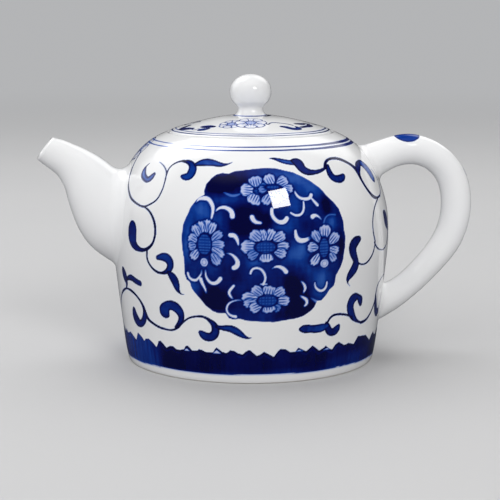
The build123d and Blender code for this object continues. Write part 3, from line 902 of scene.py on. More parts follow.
# petals, in mm from the flower's middle: across, up, half width, half length, tone
PETALS_MIDDLE = [
    (-5.5774, 0.1765, 1.9062, 2.4004, 0.09), (-3.3535, 3.8124, 1.6944, 1.765, 0.12),
    (-0.9884, 4.0595, 1.3414, 1.6238, 0.12), (1.6238, 4.1654, 1.3414, 1.765, 0.10),
    (4.6596, 3.3535, 1.4826, 1.8356, 0.13), (5.7892, 0.2824, 1.2002, 1.9062, 0.12),
    (4.942, -2.0474, 1.412, 1.8356, 0.13), (0.1765, -3.4594, 1.9768, 1.412, 0.08),
    (-4.236, -2.5416, 1.3414, 1.6238, 0.26),
]
PETALS_LOW = [
    (-5.9304, 1.1296, 1.5532, 2.4004, 0.09), (-5.648, -0.7766, 1.2708, 2.118, 0.14),
    (-3.53, 3.3888, 1.6238, 1.8356, 0.12), (0.5648, 3.4594, 1.9768, 1.5532, 0.13),
    (4.0242, 2.9652, 1.4826, 1.6944, 0.14), (5.4362, -0.1412, 1.4826, 1.9062, 0.12),
    (3.2476, -2.6122, 1.2002, 1.1296, 0.34), (0.4942, -2.7534, 1.9062, 1.2708, 0.12),
    (-3.9536, -2.1886, 1.5532, 1.8356, 0.12),
]
PETALS_TOP_SMALL = [
    (-3.53, 0.353, 1.8356, 1.9062, 0.09), (-0.5648, 3.3888, 1.9768, 1.6238, 0.13),
    (-1.1296, -2.824, 2.0474, 1.6238, 0.10), (2.118, 1.412, 1.2002, 1.2708, 0.30),
]
PETALS_TOP = [
    (-0.8825, 2.7534, 1.6944, 1.765, 0.10), (3.4594, 1.9415, 1.6944, 1.6944, 0.14),
    (5.2244, -0.6354, 1.2708, 1.4826, 0.12), (-2.1886, -4.0948, 1.3414, 1.765, 0.14),
    (0.9884, -3.53, 1.6944, 1.765, 0.12), (3.53, -2.6828, 1.3414, 1.5532, 0.14),
    (-3.3888, -0.706, 1.059, 1.2708, 0.3),
]
PETALS_SPOUT_SIDE = [
    (-2.9652, 4.5184, 1.2002, 1.765, 0.12), (-1.3414, 5.5774, 1.2002, 1.9062, 0.12),
    (0.6354, 6.2128, 1.2002, 1.9062, 0.12), (2.471, 5.5774, 1.059, 1.6944, 0.12),
    (4.0242, 2.9652, 1.2002, 1.9062, 0.2), (4.4478, 0.1412, 1.3414, 1.9062, 0.16),
    (4.4478, -2.471, 1.2708, 2.0474, 0.12), (3.6712, -4.8714, 1.2708, 1.9062, 0.16),
    (-4.0242, 1.765, 1.412, 1.412, 0.14), (-4.236, -0.7766, 1.2708, 1.1296, 0.2),
    (-3.2476, -3.53, 1.2002, 1.765, 0.12),
]
PETALS_HANDLE_SIDE = [
    (-2.6122, 4.1654, 1.2002, 1.9062, 0.14), (0.4942, 5.5774, 1.6944, 1.9062, 0.10),
    (3.53, 2.8946, 1.4826, 1.9062, 0.12), (3.53, -0.9884, 1.2002, 1.6238, 0.12),
    (3.1064, -3.53, 1.059, 1.4826, 0.16), (-3.8124, 0.4942, 1.4826, 1.4826, 0.12),
    (-2.824, -3.7418, 1.2002, 1.9062, 0.08),
]
# outlined flowers: the same columns without a tone
PETALS_LID = [
    (-4.236, 0, 2.118, 2.1886), (-2.824, 3.3888, 2.118, 2.118), (0, 4.5184, 2.1886, 2.0474),
    (2.9652, 3.3888, 2.118, 2.118), (4.3066, 0.0706, 2.118, 2.1886),
    (2.9652, -3.3888, 2.118, 2.118), (0, -4.5184, 2.1886, 2.0474), (-2.9652, -3.3888, 2.118, 2.118),
]
PETALS_ABOVE_SPOUT = [
    (-4.589, 0, 2.118, 2.3298), (-3.2476, 3.2476, 2.0474, 2.1886), (0, 4.3066, 2.118, 2.118),
    (3.2476, 3.2476, 2.0474, 2.1886), (4.589, 0, 2.118, 2.3298),
    (3.2476, -3.2476, 2.0474, 2.1886), (0, -4.3066, 2.118, 2.118),
    (-3.2476, -3.2476, 2.0474, 2.1886),
]
# angle, height, half axes of the heart, petals, sideways stretch,
# bud (across, up, half width, half height)
ROSETTES = [
    (-3.6, 65.7, (1.412, 1.2002), PETALS_TOP_SMALL, 1.0, None),
    (2.9, 66.8, (2.6122, 1.059), PETALS_TOP, 1.0, None),
    (-0.7, 47.5, (3.7065, 2.118), PETALS_MIDDLE, 1.0, None),
    (0.2, 29.3, (3.4594, 2.118), PETALS_LOW, 1.0, None),
    (-24.4, 48.1, (2.4004, 3.8124), PETALS_SPOUT_SIDE, 1.05, (-0.1412, -6.001, 1.2708, 1.4826)),
    (23.2, 46.3, (1.765, 3.6712), PETALS_HANDLE_SIDE, 1.15, (0.2118, -5.295, 1.412, 1.412)),
]
# (angle, height) along the upper edge of the toothed band above the foot
TOOTH_LINE = [
    (-90.0, 10.9), (-87.6, 13.0), (-85.4, 11.2), (-83.0, 13.2), (-80.6, 11.3), (-78.4, 12.8),
    (-76.6, 11.4), (-72.5, 12.4), (-69.4, 11.4), (-66.7, 10.4), (-64.5, 13.4), (-63.1, 13.0),
    (-60.9, 12.1), (-59.5, 11.1), (-58.3, 12.1), (-55.8, 12.4), (-53.2, 11.3), (-51.2, 10.1),
    (-50.3, 11.0), (-49.5, 12.4), (-48.2, 12.7), (-46.4, 11.6), (-45.1, 10.6), (-43.2, 11.4),
    (-41.4, 11.6), (-39.7, 10.7), (-38.0, 10.6), (-35.7, 11.1), (-34.9, 12.2), (-33.9, 12.5),
    (-32.8, 11.8), (-31.9, 11.0), (-29.3, 11.1), (-28.7, 11.7), (-27.4, 11.5), (-25.4, 10.8),
    (-22.4, 10.9), (-21.5, 12.1), (-20.8, 12.7), (-19.5, 12.0), (-18.5, 11.3), (-16.6, 10.9),
    (-15.7, 11.4), (-14.9, 12.0), (-13.2, 11.7), (-11.5, 10.9), (-9.8, 10.6), (-8.4, 11.6),
    (-7.4, 12.1), (-6.5, 12.0), (-5.2, 11.0), (-3.9, 10.1), (-2.5, 10.5), (-0.8, 11.5),
    (1.1, 10.6), (3.3, 9.6), (4.9, 11.4), (6.0, 12.3), (8.2, 12.1), (10.2, 11.0), (12.8, 11.0),
    (13.3, 11.7), (13.9, 12.3), (16.3, 11.3), (17.6, 10.8), (20.5, 12.6), (23.9, 10.5),
    (26.4, 11.3), (27.0, 11.9), (28.8, 10.8), (30.7, 10.1), (32.4, 11.7), (34.3, 12.4),
    (37.8, 10.8), (40.5, 11.2), (44.3, 10.3), (47.1, 12.7), (50.1, 12.4), (54.2, 12.1),
    (57.2, 10.5), (59.2, 9.5), (61.4, 11.0), (63.5, 11.9), (66.2, 10.3), (68.8, 10.2),
    (71.2, 12.3), (73.8, 10.4), (77.0, 12.6), (79.8, 10.6), (83.2, 12.7), (86.4, 10.6), (90.0, 12.0),
]
# pale triangles in the teeth: angle, height, half width, height of the triangle
TOOTH_GAPS = [
    (-34.4, 11.3, 0.75, 0.55), (-20.7, 11.6, 0.95, 0.8), (14.4, 11.5, 0.9, 0.35),
    (27.9, 10.9, 0.9, 0.35),
]
# strokes on the lid: (angle, radius, width)
SPRIGS = [
    ("dark", [(-80.7, 22.6, 0.9), (-80.2, 23.8, 1.5), (-78.8, 25.2, 1.4), (-78.2, 25.9, 0.4)]),
    ("dark", [(-77.5, 26.0, 0.6), (-72.3, 25.3, 1.6), (-67.2, 24.7, 1.3), (-62.9, 24.2, 0.5)]),
    ("line", [(-64.0, 23.6, 0.3), (-61.0, 24.9, 0.3), (-57.5, 24.9, 0.3), (-55.5, 23.6, 0.3)]),
    ("dark", [(-44.2, 20.8, 0.6), (-48.4, 21.0, 1.7), (-52.7, 21.3, 1.9), (-57.1, 21.6, 0.7)]),
    ("leaf", [(-46.0, 22.9, 0.5), (-48.8, 23.9, 1.5), (-52.0, 24.4, 1.2)]),
    ("line", [
        (11.6, 16.3, 0.7), (13.3, 17.6, 0.5), (18.4, 16.3, 0.4), (25.3, 16.1, 0.45),
        (33.1, 17.1, 0.45), (38.2, 18.3, 0.5), (41.3, 19.8, 0.6)]),
    ("leaf", [
        (25.4, 20.4, 0.5), (29.2, 21.2, 1.4), (31.7, 22.6, 1.6), (35.2, 23.4, 1.4),
        (40.7, 22.9, 1.0), (41.2, 21.7, 0.5)]),
    ("dark", [(50.4, 18.8, 0.4), (56.1, 19.6, 1.2), (63.3, 19.9, 0.5)]),
    ("dark", [
        (66.5, 20.0, 0.4), (68.2, 21.1, 1.2), (66.0, 21.9, 1.3), (56.8, 22.4, 0.9),
        (45.7, 22.4, 0.4)]),
]
TENDRILS = [
    ("line", [
        (74, 20.6, 0.6), (79, 22.6, 0.5), (85, 23.4, 0.45), (91, 22.4, 0.5), (95, 20.4, 0.6)]),
    ("leaf", [(84, 20.8, 0.4), (87, 19.6, 1.3), (91, 18.6, 1.5), (95, 18.2, 0.5)]),
]


# ---------------------------------------------------------- painting: tools
def fill(distance, blur):
    """cover inside a signed distance of 0, softened over blur"""
    return smooth(0.5 - distance / blur)


def stripes(phase, share):
    return smooth(1 - np.abs(np.mod(phase, 1) - 0.5) * 2 / share)


class Sheet:
    """painted vertices: their places on the surface, tone of blue and cover"""

    def __init__(self, points, angle=None, radius=None, height=None, run=None):
        self.points, self.angle, self.radius = points, angle, radius
        self.height, self.run = height, run
        self.tone = np.zeros(len(points))
        self.cover = np.zeros(len(points))

    def window(self, low, high):
        return np.nonzero(((self.points > low) & (self.points < high)).all(1))[0]

    def lay(self, ids, alpha, tone, spread=False):
        """lays a tone over what is there; spread carries it past its edge, uncovered"""
        alpha = np.clip(alpha, 0.003 if spread else 0, 1)
        below = self.cover[ids] * (1 - alpha)
        total = alpha + below
        self.tone[ids] = (self.tone[ids] * below + tone * alpha) / np.maximum(total, 1e-6)
        self.cover[ids] = total

    def wash(self, ids, distance, blur, tone, limits):
        keep = distance < 1.0
        alpha = fill(distance, blur)[keep]
        self.lay(ids[keep], alpha, np.clip(tone, *limits)[keep], spread=True)

    def band(self, distance, limit, half, tone):
        """a thin line where distance is less than half"""
        ids = np.nonzero(distance < limit)[0]
        self.lay(ids, fill((distance - half)[ids], BLEED), tone[ids], spread=True)

    def shade(self, ids):
        return self.tone[ids] * smooth(self.cover[ids])


def track(rows, extra=1, thinnest=0.08):
    """brush track through (x, y, z, width) rows: places and widths every 0.6 mm or so"""
    curve = Curve(rows, dims=3)
    line = curve.sample(max(3, int(curve.length / 0.6) + extra))
    return line[:, :3], np.maximum(line[:, 3], thinnest)


def placed(points, place):
    return [(*place(first, second), width) for first, second, width in points]


def reach(sheet, line, width, pad):
    """vertices near a tapered track, with their signed distance from it, their share of
    the way along it and its half width there"""
    ids = sheet.window(line.min(0) - pad, line.max(0) + pad)
    points = sheet.points[ids]
    best = np.full(len(ids), 1e9)
    share = np.zeros(len(ids))
    half = np.zeros(len(ids))
    count = len(line) - 1
    for k in range(count):
        step = line[k + 1] - line[k]
        part = np.clip(((points - line[k]) @ step) / max(step @ step, 1e-12), 0, 1)
        away = np.linalg.norm(points - line[k] - part[:, None] * step, axis=1)
        half_here = (width[k] + (width[k + 1] - width[k]) * part) / 2
        better = away - half_here < best
        best = np.where(better, away - half_here, best)
        share = np.where(better, (k + part) / count, share)
        half = np.where(better, half_here, half)
    return ids, best, share, half


def brush(sheet, kind, points, place, grow=0.0):
    """one stroke, darker where the colour gathers at its rim and where it is thin"""
    core, edge, pool, rim = LOOKS[kind]
    line, width = track(placed(points, place))
    width = width + grow
    pad = width.max() / 2 + BLEED * 2 + 0.2
    ids, distance, share, half = reach(sheet, line, width, pad)
    gather = np.clip(1.12 + (distance + 0.10) / rim, 0, 1) ** 0.7
    thin = smooth((0.62 - half) / 0.4)
    x, y, z = sheet.points[ids].T
    tone = core + (edge - core) * np.maximum(gather, thin) + pool * (0.5 - share)
    tone = tone + 0.06 * noise(x * 0.9 + y * 0.7, z * 0.9, seed=5)
    sheet.lay(ids, fill(distance, BLEED), np.clip(tone, 0, 1.05), spread=True)


def polar(angle, radius):
    turn = math.radians(angle - 90)
    return radius * math.cos(turn), radius * math.sin(turn)


def wall_radius(z):
    return float(np.interp(z, OUT_Z, OUT_R))


def wall_run(z):
    """distance up the wall's profile"""
    return np.interp(z, OUT_Z, OUT_RUN)


def wall_place(angle, z):
    return *polar(angle, wall_radius(z)), z


def lid_place(angle, radius):
    return *polar(angle, radius), float(np.interp(radius, LID_R, LID_Z))


def polygon_distance(across, up, outline):
    """signed distance from a closed outline, negative inside"""
    points = np.stack([across, up], -1)
    best = np.full(len(across), 1e9)
    within = np.zeros(len(across), bool)
    for start, end in zip(outline, np.roll(outline, -1, axis=0)):
        step = end - start
        share = np.clip(((points - start) @ step) / max(step @ step, 1e-12), 0, 1)
        away = points - start - share[:, None] * step
        best = np.minimum(best, np.hypot(away[:, 0], away[:, 1]))
        if start[1] != end[1]:
            crosses = (start[1] > up) != (end[1] > up)
            x = start[0] + (up - start[1]) / (end[1] - start[1]) * (end[0] - start[0])
            within ^= crosses & (across < x)
    return np.where(within, -best, best)


def petal_field(across, up, petal, index, heart, plump):
    """signed distance from a petal, with the place along and across it"""
    x, y, half_width, half_length = petal[:4]
    wide_heart = heart[1] < heart[0]
    turn = math.atan2(y * (0.8 if wide_heart else 1.0), x * (1.0 if wide_heart else 0.8))
    cos, sin = math.cos(turn), math.sin(turn)
    outward = (across - x) * cos + (up - y) * sin
    sideways = -(across - x) * sin + (up - y) * cos
    widen, shift, lengthen = (1.13, 0.10, 1.18) if plump else (1.0, 0.0, 1.0)
    # petals are broad outside and narrow to the heart
    half = half_width * widen * (1.0 + 0.30 * np.clip(outward / half_length, -1, 1))
    outward = outward + shift * half_length
    oval = np.hypot(sideways / half, outward / (half_length * lengthen))
    distance = (oval - 1) * min(half_width, half_length)
    scallop = 0.10 * np.cos(sideways / half_width * 7.5 + index) * smooth(outward / half_length)
    return distance + scallop, outward / half_length, sideways


def rosette(sheet, ids, across, up, heart, petals, bud=None, outlined=False):
    """a flower of striped petals about a hatched heart, in mm from its middle"""
    if not outlined:
        # the wash is left darker around the flower
        halo = np.full(len(across), 1e9)
        for x, y, _, half_length, _ in petals:
            halo = np.minimum(halo, np.hypot(across - x, up - y) - half_length)
        sheet.lay(ids, smooth(1 - halo / 1.1) * 0.75, tone=0.95)
    for i in sorted(range(len(petals)), key=lambda i: petals[i][1], reverse=True):
        distance, outward, sideways = petal_field(
            across, up, petals[i], i, heart, plump=not outlined
        )
        if outlined:
            sheet.lay(ids, fill(distance, 0.3), tone=0.03)
            sheet.lay(ids, smooth(1 - (np.abs(distance) - 0.05) / 0.30), tone=0.99)
            vein = stripes(sideways / 0.95 + 0.5, 0.5)
            vein = vein * smooth(-distance / 0.4) * smooth(0.5 - outward)
            sheet.lay(ids, vein * 0.42, tone=0.66)
        else:
            sheet.lay(ids, fill(distance - 0.20, 0.34) * 0.9, tone=0.97)
            sheet.lay(ids, fill(distance, 0.30), tone=petals[i][4] + 0.055)
            vein = stripes(sideways / 0.86 + 0.5 + 0.11 * i, 0.62)
            vein = vein * smooth(-distance / 0.5) * smooth(0.9 - outward)
            sheet.lay(ids, vein * 0.94, tone=0.80)
    # tones of the heart's rim, its ground and its hatching, and the hatching's strength
    rim, ground, lines, strength = (0.62, 0.12, 0.7, 0.35) if outlined else (0.94, 0.55, 0.90, 0.8)
    distance = (np.hypot(across / heart[0], up / heart[1]) - 1) * min(heart)
    sheet.lay(ids, fill(distance - 0.18, 0.4), rim)
    sheet.lay(ids, fill(distance + 0.25, 0.4), ground)
    level = stripes(up / 0.95, 0.62)
    upright = stripes(across / 1.05 + 0.3, 0.55) * 0.75
    if heart[1] > heart[0]:
        upright = upright * 0.4
    sheet.lay(ids, np.maximum(level, upright) * smooth(-distance / 0.4) * strength, lines)
    if bud:
        x, y, half_width, half_height = bud
        oval = np.hypot((across - x) / half_width, (up - y) / half_height)
        distance = (oval - 1) * half_width
        sheet.lay(ids, fill(distance - 0.22, 0.4), tone=0.94)
        sheet.lay(ids, fill(distance, 0.3), tone=0.13)
        sheet.lay(ids, smooth(1 - np.abs(distance + 0.55) / 0.25) * 0.6, tone=0.45)


# ------------------------------------------------------- painting: the wall
WALL_ANGLES = -180 + 360 * np.arange(WALL_COLUMNS) / WALL_COLUMNS


def paint_roundel(wall):
    near = (np.abs(wall.angle) < 40) & (wall.height > 18) & (wall.height < 76)
    ids = np.nonzero(near)[0]
    across, up = np.radians(wall.angle[ids]) * wall.radius[ids], wall.run[ids]
    outline = np.array([
        (math.radians(angle) * wall_radius(z), float(wall_run(z))) for angle, z in ROUNDEL
    ])
    distance = polygon_distance(
        across + 0.25 * noise(across * 0.35, up * 0.35, seed=3),
        up + 0.2 * noise(across * 0.4, up * 0.4, seed=4),
        outline,
    )
    tone = np.full(len(ids), 0.815)
    for angle, z, wide, high, change in CLOUDS:
        off_x = np.radians(wall.angle[ids] - angle) * wall.radius[ids]
        off_y = up - wall_run(z)
        gain = 1.25 if change > 0 else 1.15
        tone += change * np.exp(-((off_x / wide) ** 2 + (off_y / high) ** 2) * 0.9) * gain
    # marks of the brush, broad and fine
    tone += 0.05 * noise(across * 0.22 + 3, up * 0.18, seed=6)
    tone += 0.035 * noise(across * 0.9, up * 0.28 + 5, seed=7)
    tone += 0.022 * noise(across * 0.35 + 9, up * 1.4, seed=8)
    tone -= 0.13 * smooth(1 + distance / 0.45)
    wall.wash(ids, distance, 0.32, tone, limits=(0.4, 1.04))


def paint_reserves(wall):
    """pale marks in the roundel; each white curl has a dark surround"""
    def near(points, pad):
        return reach(wall, *track(placed(points, wall_place)), pad=pad)

    ids, distance, _, _ = near(PALE_WEDGE, 3.0)
    alpha = fill(distance, 0.5) * 0.85 * smooth((wall.shade(ids) - 0.2) / 0.3)
    wall.lay(ids, alpha, tone=0.22)
    for points in CURLS:
        ids, distance, _, half = near(points, 3.0)
        in_wash = smooth((wall.shade(ids) - 0.25) / 0.3)
        wall.lay(ids, smooth(1 - distance / 0.75) * 0.85 * in_wash, tone=0.94)
        strong = smooth((half - 0.10) / 0.25)
        alpha = fill(distance, 0.34) * (0.55 + 0.45 * strong)
        wall.lay(ids, alpha, tone=0.07 + 0.2 * (1 - strong))
    for points in PALE_ARCS:
        ids, distance, _, _ = near(points, 2.0)
        wall.lay(ids, fill(distance, 0.4) * 0.8, tone=0.34)


def wall_flower(wall, angle, z, half_window, stretch, size, *flower, **options):
    centre = np.array(wall_place(angle, z))
    ids = wall.window(centre - half_window, centre + half_window)
    radius = 0.4 * wall_radius(z) + 0.6 * wall.radius[ids]
    across = np.radians(wall.angle[ids] - angle) * radius
    up = wall.run[ids] - wall_run(z)
    rosette(wall, ids, across / stretch, up / size, *flower, **options)


def mirror_to_back(wall):
    """the back wears the front's painting mirrored, with the hand's small drift"""
    shape = (len(outside), WALL_COLUMNS)
    beyond = np.abs(WALL_ANGLES)
    drift = smooth((beyond - 90) / 25)[None]
    around, up = WALL_ANGLES[None] * 0.86 / 9, OUT_RUN[:, None] / 11
    source = (180 - beyond) * np.sign(WALL_ANGLES) * WALL_COLUMNS / 360
    column = (WALL_COLUMNS / 2 + source)[None] + drift * 3.2 * noise(around, up, seed=11)
    row = np.arange(shape[0], dtype=float)[:, None]
    row = row + drift * 3.0 * noise(around + 20, up + 9, seed=12)
    row = np.clip(row, 0, shape[0] - 1.001)
    col0, row0 = np.floor(column).astype(int), np.floor(row).astype(int)
    part_col, part_row = column - col0, row - row0
    left, right = col0 % WALL_COLUMNS, (col0 + 1) % WALL_COLUMNS

    def mirrored(values):
        grid = values.reshape(shape)
        taken = (
            grid[row0, left] * (1 - part_col) * (1 - part_row)
            + grid[row0, right] * part_col * (1 - part_row)
            + grid[row0 + 1, left] * (1 - part_col) * part_row
            + grid[row0 + 1, right] * part_col * part_row
        )
        return np.where((beyond > 90)[None], taken, grid).ravel()

    ink = mirrored(wall.tone * wall.cover)
    wall.cover = mirrored(wall.cover)
    wall.tone = np.where(wall.cover > 1e-6, ink / np.maximum(wall.cover, 1e-6), 0.0)


def paint_shoulder_rings(wall):
    """two thin rings; the brush is fuller towards the handle; near -52 degrees they are faded out, a
    painted highlight where glare lies on that shoulder
    """
    angle = wall.angle
    side = smooth(0.5 + 0.62 * np.sin(np.radians(angle + 6)))
    # painted highlight: the rings are faded out near -52 degrees, where glare washes over the
    # spout-side shoulder
    glare_fade = 1 - 0.92 * np.exp(-(((angle + 52) / 9) ** 2))
    half = 0.19 + 0.25 * side + 0.22 * smooth((angle - 28) / 32)
    for z, seed in ((79.06, 21), (78.04, 22)):
        distance = np.abs(wall.run - wall_run(z) + 0.05 * noise(angle / 9, 0, seed))
        tone = (0.62 + 0.22 * side) * glare_fade + 0.05 * noise(angle / 5, 0, seed)
        wall.band(distance, 1.2, half, tone)


def paint_teeth(wall):
    ids = np.nonzero((wall.height > 1.6) & (wall.height < 16.0))[0]
    angle, z = wall.angle[ids], wall.height[ids]
    # the back repeats the front, with some drift
    behind = np.abs(angle) > 90
    front = np.where(behind, np.sign(angle) * (180 - np.abs(angle)), angle)
    drift = smooth((np.abs(angle) - 90) / 12)
    front = front + behind * 2.2 * noise(angle / 14, 2, seed=37) * drift
    tooth_angle, tooth_z = np.array(TOOTH_LINE).T
    top = np.interp(front, tooth_angle, tooth_z)
    top = top + behind * 0.35 * noise(angle / 5, 6, seed=38)
    rise = np.interp(front + 0.4, tooth_angle, tooth_z) - np.interp(
        front - 0.4, tooth_angle, tooth_z
    )
    slope = rise / 0.62          # 0.8 degrees of the wall, in mm
    low = np.interp(np.abs(front), [0, 40, 62, 75, 90], [3.42, 3.30, 2.75, 2.5, 2.5])
    low = low + 0.14 * noise(angle / 9, 5, seed=32) + 0.06 * noise(angle / 2.2, 1, seed=33)
    over = (z - top) / np.sqrt(1 + 0.55 * slope**2)

    def near(centre, wide):
        return np.exp(-(((front - centre) / wide) ** 2))

    # where the band was laid on thinly
    light = np.clip(1.0 * near(-70, 15) + 0.75 * near(-54, 7) - 1.4 * near(-42, 6), 0, 1.2)
    for strength, centre, wide, below, blur in (
        (0.55, 33, 6, 8.5, 4), (0.75, 47, 9, 9.5, 4), (0.45, 10, 9, 5.8, 1.6),
        (0.4, -17, 5, 5.2, 1.4),
    ):
        light += strength * near(centre, wide) * smooth((below - z) / blur)
    tone = 0.985 + 0.03 * noise(front / 6.5, z * 0.12, seed=34) + 0.04 * near(-38, 8)
    tone -= 0.20 * light
    streak = 0.05 * noise(front * 0.8, z * 0.10 + 4, seed=35)
    streak += 0.035 * noise(front * 2.0, z * 0.16, seed=36)
    tone += streak * (0.25 + 1.1 * light) - 0.02
    tone += 0.10 * smooth(1 + over / 0.7)
    # the second, thinner pass of each tooth leaves a lighter gable under its edge
    patchy = smooth(0.5 + 0.8 * noise(front / 5, 9, seed=39))
    tone -= 0.09 * smooth(1 - np.abs(over + 1.15) / 0.42) * patchy
    tone -= 0.10 * smooth(1 - (z - low) / 0.8)
    wall.wash(ids, np.maximum(over, low - z), BLEED, tone, limits=(0.45, 1.04))
    for centre, height, wide, high in TOOTH_GAPS:
        across = np.radians(front - centre) * 46.0
        slant = np.abs(across) / wide + (z - height) / high
        triangle = np.maximum(slant, -(z - height + high * 0.9) / high)
        wall.lay(ids, fill(triangle - 0.35, 0.5), tone=0.12)
    # a faint blue bleeds down over the bare rim
    keep = (z < low - 0.05) & (wall.cover[ids] < 0.5)
    wall.lay(ids[keep], smooth(1 - (low - z) / 0.9)[keep], tone=0.11)


def paint_wall(points):
    radius, height, run = (np.repeat(row, WALL_COLUMNS) for row in (OUT_R, OUT_Z, OUT_RUN))
    wall = Sheet(points, np.tile(WALL_ANGLES, len(outside)), radius, height, run)
    paint_roundel(wall)
    paint_reserves(wall)
    for angle, z, heart, petals, stretch, bud in ROSETTES:
        wall_flower(wall, angle, z, 11, stretch, 1.0, heart, petals, bud)
    for kind, points in VINES:
        brush(wall, kind, points, wall_place, grow=0.12 if kind == "line" else 0.10)
    for kind, points in SIDE_VINES:
        brush(wall, kind, points, wall_place, grow=0.12)
    size = 0.92
    wall_flower(
        wall, -90.0, 76.1, 9, size, size, (1.9768, 1.765), PETALS_ABOVE_SPOUT, outlined=True
    )
    mirror_to_back(wall)
    paint_shoulder_rings(wall)
    paint_teeth(wall)
    return wall


# ------------------------------------------- painting: lid, handle and knob
def paint_lid(points):
    angles = -180 + 360 * np.arange(LID_COLUMNS) / LID_COLUMNS
    lid = Sheet(points, np.tile(angles, len(LID_R)), np.repeat(LID_R, LID_COLUMNS))
    side = 0.5 + 0.5 * np.sin(np.radians(lid.angle - 8))
    wobble = 0.06 * noise(lid.angle / 8, 0, seed=41)
    # rings at the rim, then one round the knob's root; the outer rim ring at 28.0 mm is painted
    # shadow, the dark line of the gap between lid and pot
    for radius, tone, handle_tone in ((26.7, 0.72, 0.92), (28.0, 0.90, 1.00)):
        lid.band(
            np.abs(lid.radius - radius + wobble), 1.2, 0.19 * (1.0 + 0.35 * side),
            tone + (handle_tone - tone) * side,
        )
    root = np.abs(lid.radius - 6.45 - 0.35 * np.sin(np.radians(lid.angle)) + wobble)
    lid.band(root, 1.6, 0.26 + 0.30 * side, 0.58 + 0.40 * side)

    def strokes(table, turn, line_grow, leaf_grow):
        for kind, points in table:
            turned = [(angle + turn, radius, width) for angle, radius, width in points]
            brush(lid, kind, turned, lid_place, line_grow if kind == "line" else leaf_grow)

    # two halves alike
    for turn in (0, 180):
        strokes(SPRIGS, turn, line_grow=0.14, leaf_grow=1.0)
        for angle, radius, size in ((-29.6, 17.3, 0.64), (-6.2, 15.5, 0.86)):
            centre = np.array(lid_place(angle + turn, radius))
            ids = lid.window(centre - 9, centre + 9)
            off = np.radians((lid.angle[ids] - angle - turn + 180) % 360 - 180)
            across = off * (0.5 * radius + 0.5 * lid.radius[ids])
            up = radius - lid.radius[ids]
            heart = (2.0474, 1.8356)
            rosette(lid, ids, across / size, up / size, heart, PETALS_LID, outlined=True)
    for turn in (0, 180):
        strokes(TENDRILS, turn, line_grow=0.0, leaf_grow=0.0)
    return lid


def handle_dab(sheet, points, core, edge):
    """a dab on the outer face through (distance along, mm towards -Y, width)"""
    def place(along, forward):
        around = -forward / handle_curve(np.array([along]))[0][3]
        return handle_at(np.array([along]), np.array([around]))[0]

    line, width = track(placed(points, place), extra=0, thinnest=0.1)
    ids, distance, _, _ = reach(sheet, line, width, pad=4)
    tone = core + (edge - core) * smooth(1 + distance / 0.55)
    sheet.wash(ids, distance, 0.36, tone, limits=(0, 1))


def paint_handle(points):
    sheet = Sheet(points)
    # the first dab lies on the upper run, between two places in x
    along = np.linspace(0, HANDLE_LENGTH * 0.55, 400)
    begin, end = (float(np.interp(x, handle_curve(along)[:, 0], along)) for x in (53.9, 59.3))
    length = end - begin
    handle_dab(sheet, [
        (begin, 0.6, 1.0), (begin + length * 0.25, 1.1, 5.0), (begin + length * 0.5, 1.3, 7.2),
        (begin + length * 0.76, 1.1, 6.2), (end, 0.5, 1.4),
    ], core=0.68, edge=0.97)
    # the second on the outer bend beyond x = 66, between two heights
    along = np.linspace(0, HANDLE_LENGTH * 0.6, 600)
    x, z = handle_curve(along)[:, :2].T
    begin, end = (
        float(along[np.argmin(np.abs(z - height) + (x < 66) * 99)]) for height in (67.0, 60.5)
    )
    length = end - begin
    handle_dab(sheet, [
        (begin, -0.6, 0.7), (begin + length * 0.4, -0.4, 3.6), (begin + length * 0.7, -0.5, 3.4),
        (end, -0.7, 0.8),
    ], core=0.60, edge=0.90)
    return {"cobalt": sheet.tone, "covered": sheet.cover}


def paint_knob(points):
    """the ring at the knob's root rides up on its foot"""
    x, y, z = points.T
    angle = np.arctan2(x, -y)
    side = 0.5 + 0.5 * np.sin(angle - math.radians(8))
    wobble = 0.05 * noise(np.degrees(angle) / 9, 0, seed=43)
    cover = fill(z - 87.28 - 0.10 * side + wobble, BLEED)
    cover = cover * smooth((8.0 - np.hypot(x, y)) / 0.5) * (z < 89)
    return {"cobalt": np.where(z < 89, 0.55 + 0.40 * side, 0.0), "covered": cover}


def turned_layers(surface, first, paint, unglazed):
    """paints a turned surface's dense rows and returns all its attributes"""
    verts = surface.verts()
    dense = len(outside) * WALL_COLUMNS if paint is paint_wall else len(LID_R) * LID_COLUMNS
    sheet = paint(verts[first : first + dense])
    layers = {}
    for key, values in (("cobalt", sheet.tone), ("covered", sheet.cover)):
        layers[key] = np.zeros(len(verts))
        layers[key][first : first + dense] = values
    layers["unglazed"] = unglazed
    return layers


# ---------------------------------------------------------------- materials
class Nodes:
    """the shader nodes of one material or world"""

    def __init__(self, owner):
        owner.use_nodes = True
        self.tree = owner.node_tree
        self.tree.nodes.clear()

    def new(self, kind, inputs=None, **settings):
        """a node; each input is given a value or linked to a socket"""
        node = self.tree.nodes.new("ShaderNode" + kind)
        for key, value in settings.items():
            setattr(node, key, value)
        for key, value in (inputs or {}).items():
            if isinstance(value, bpy.types.NodeSocket):
                self.tree.links.new(value, node.inputs[key])
            else:
                node.inputs[key].default_value = value
        return node

    def math(self, operation, one, two, clamp=False):
        return self.new("Math", {0: one, 1: two}, operation=operation, use_clamp=clamp).outputs[0]

    def add(self, one, two, clamp=False):
        return self.math("ADD", one, two, clamp)

    def sub(self, one, two, clamp=False):
        return self.math("SUBTRACT", one, two, clamp)

    def mul(self, one, two, clamp=False):
        return self.math("MULTIPLY", one, two, clamp)

    def noise(self, place, scale, detail=2.0, rough=0.5):
        inputs = {"Vector": place, "Scale": scale, "Detail": detail, "Roughness": rough}
        return self.new("TexNoise", inputs).outputs["Fac"]

    def colour(self, part, one, two):
        return self.new("Mix", {0: part, 6: one, 7: two}, data_type="RGBA").outputs[2]

    def shaders(self, part, one, two):
        return self.new("MixShader", {0: part, 1: one, 2: two}).outputs[0]

    def layer(self, name):
        return self.new("Attribute", attribute_name=name).outputs["Fac"]


WHITE = (0.800, 0.806, 0.815)
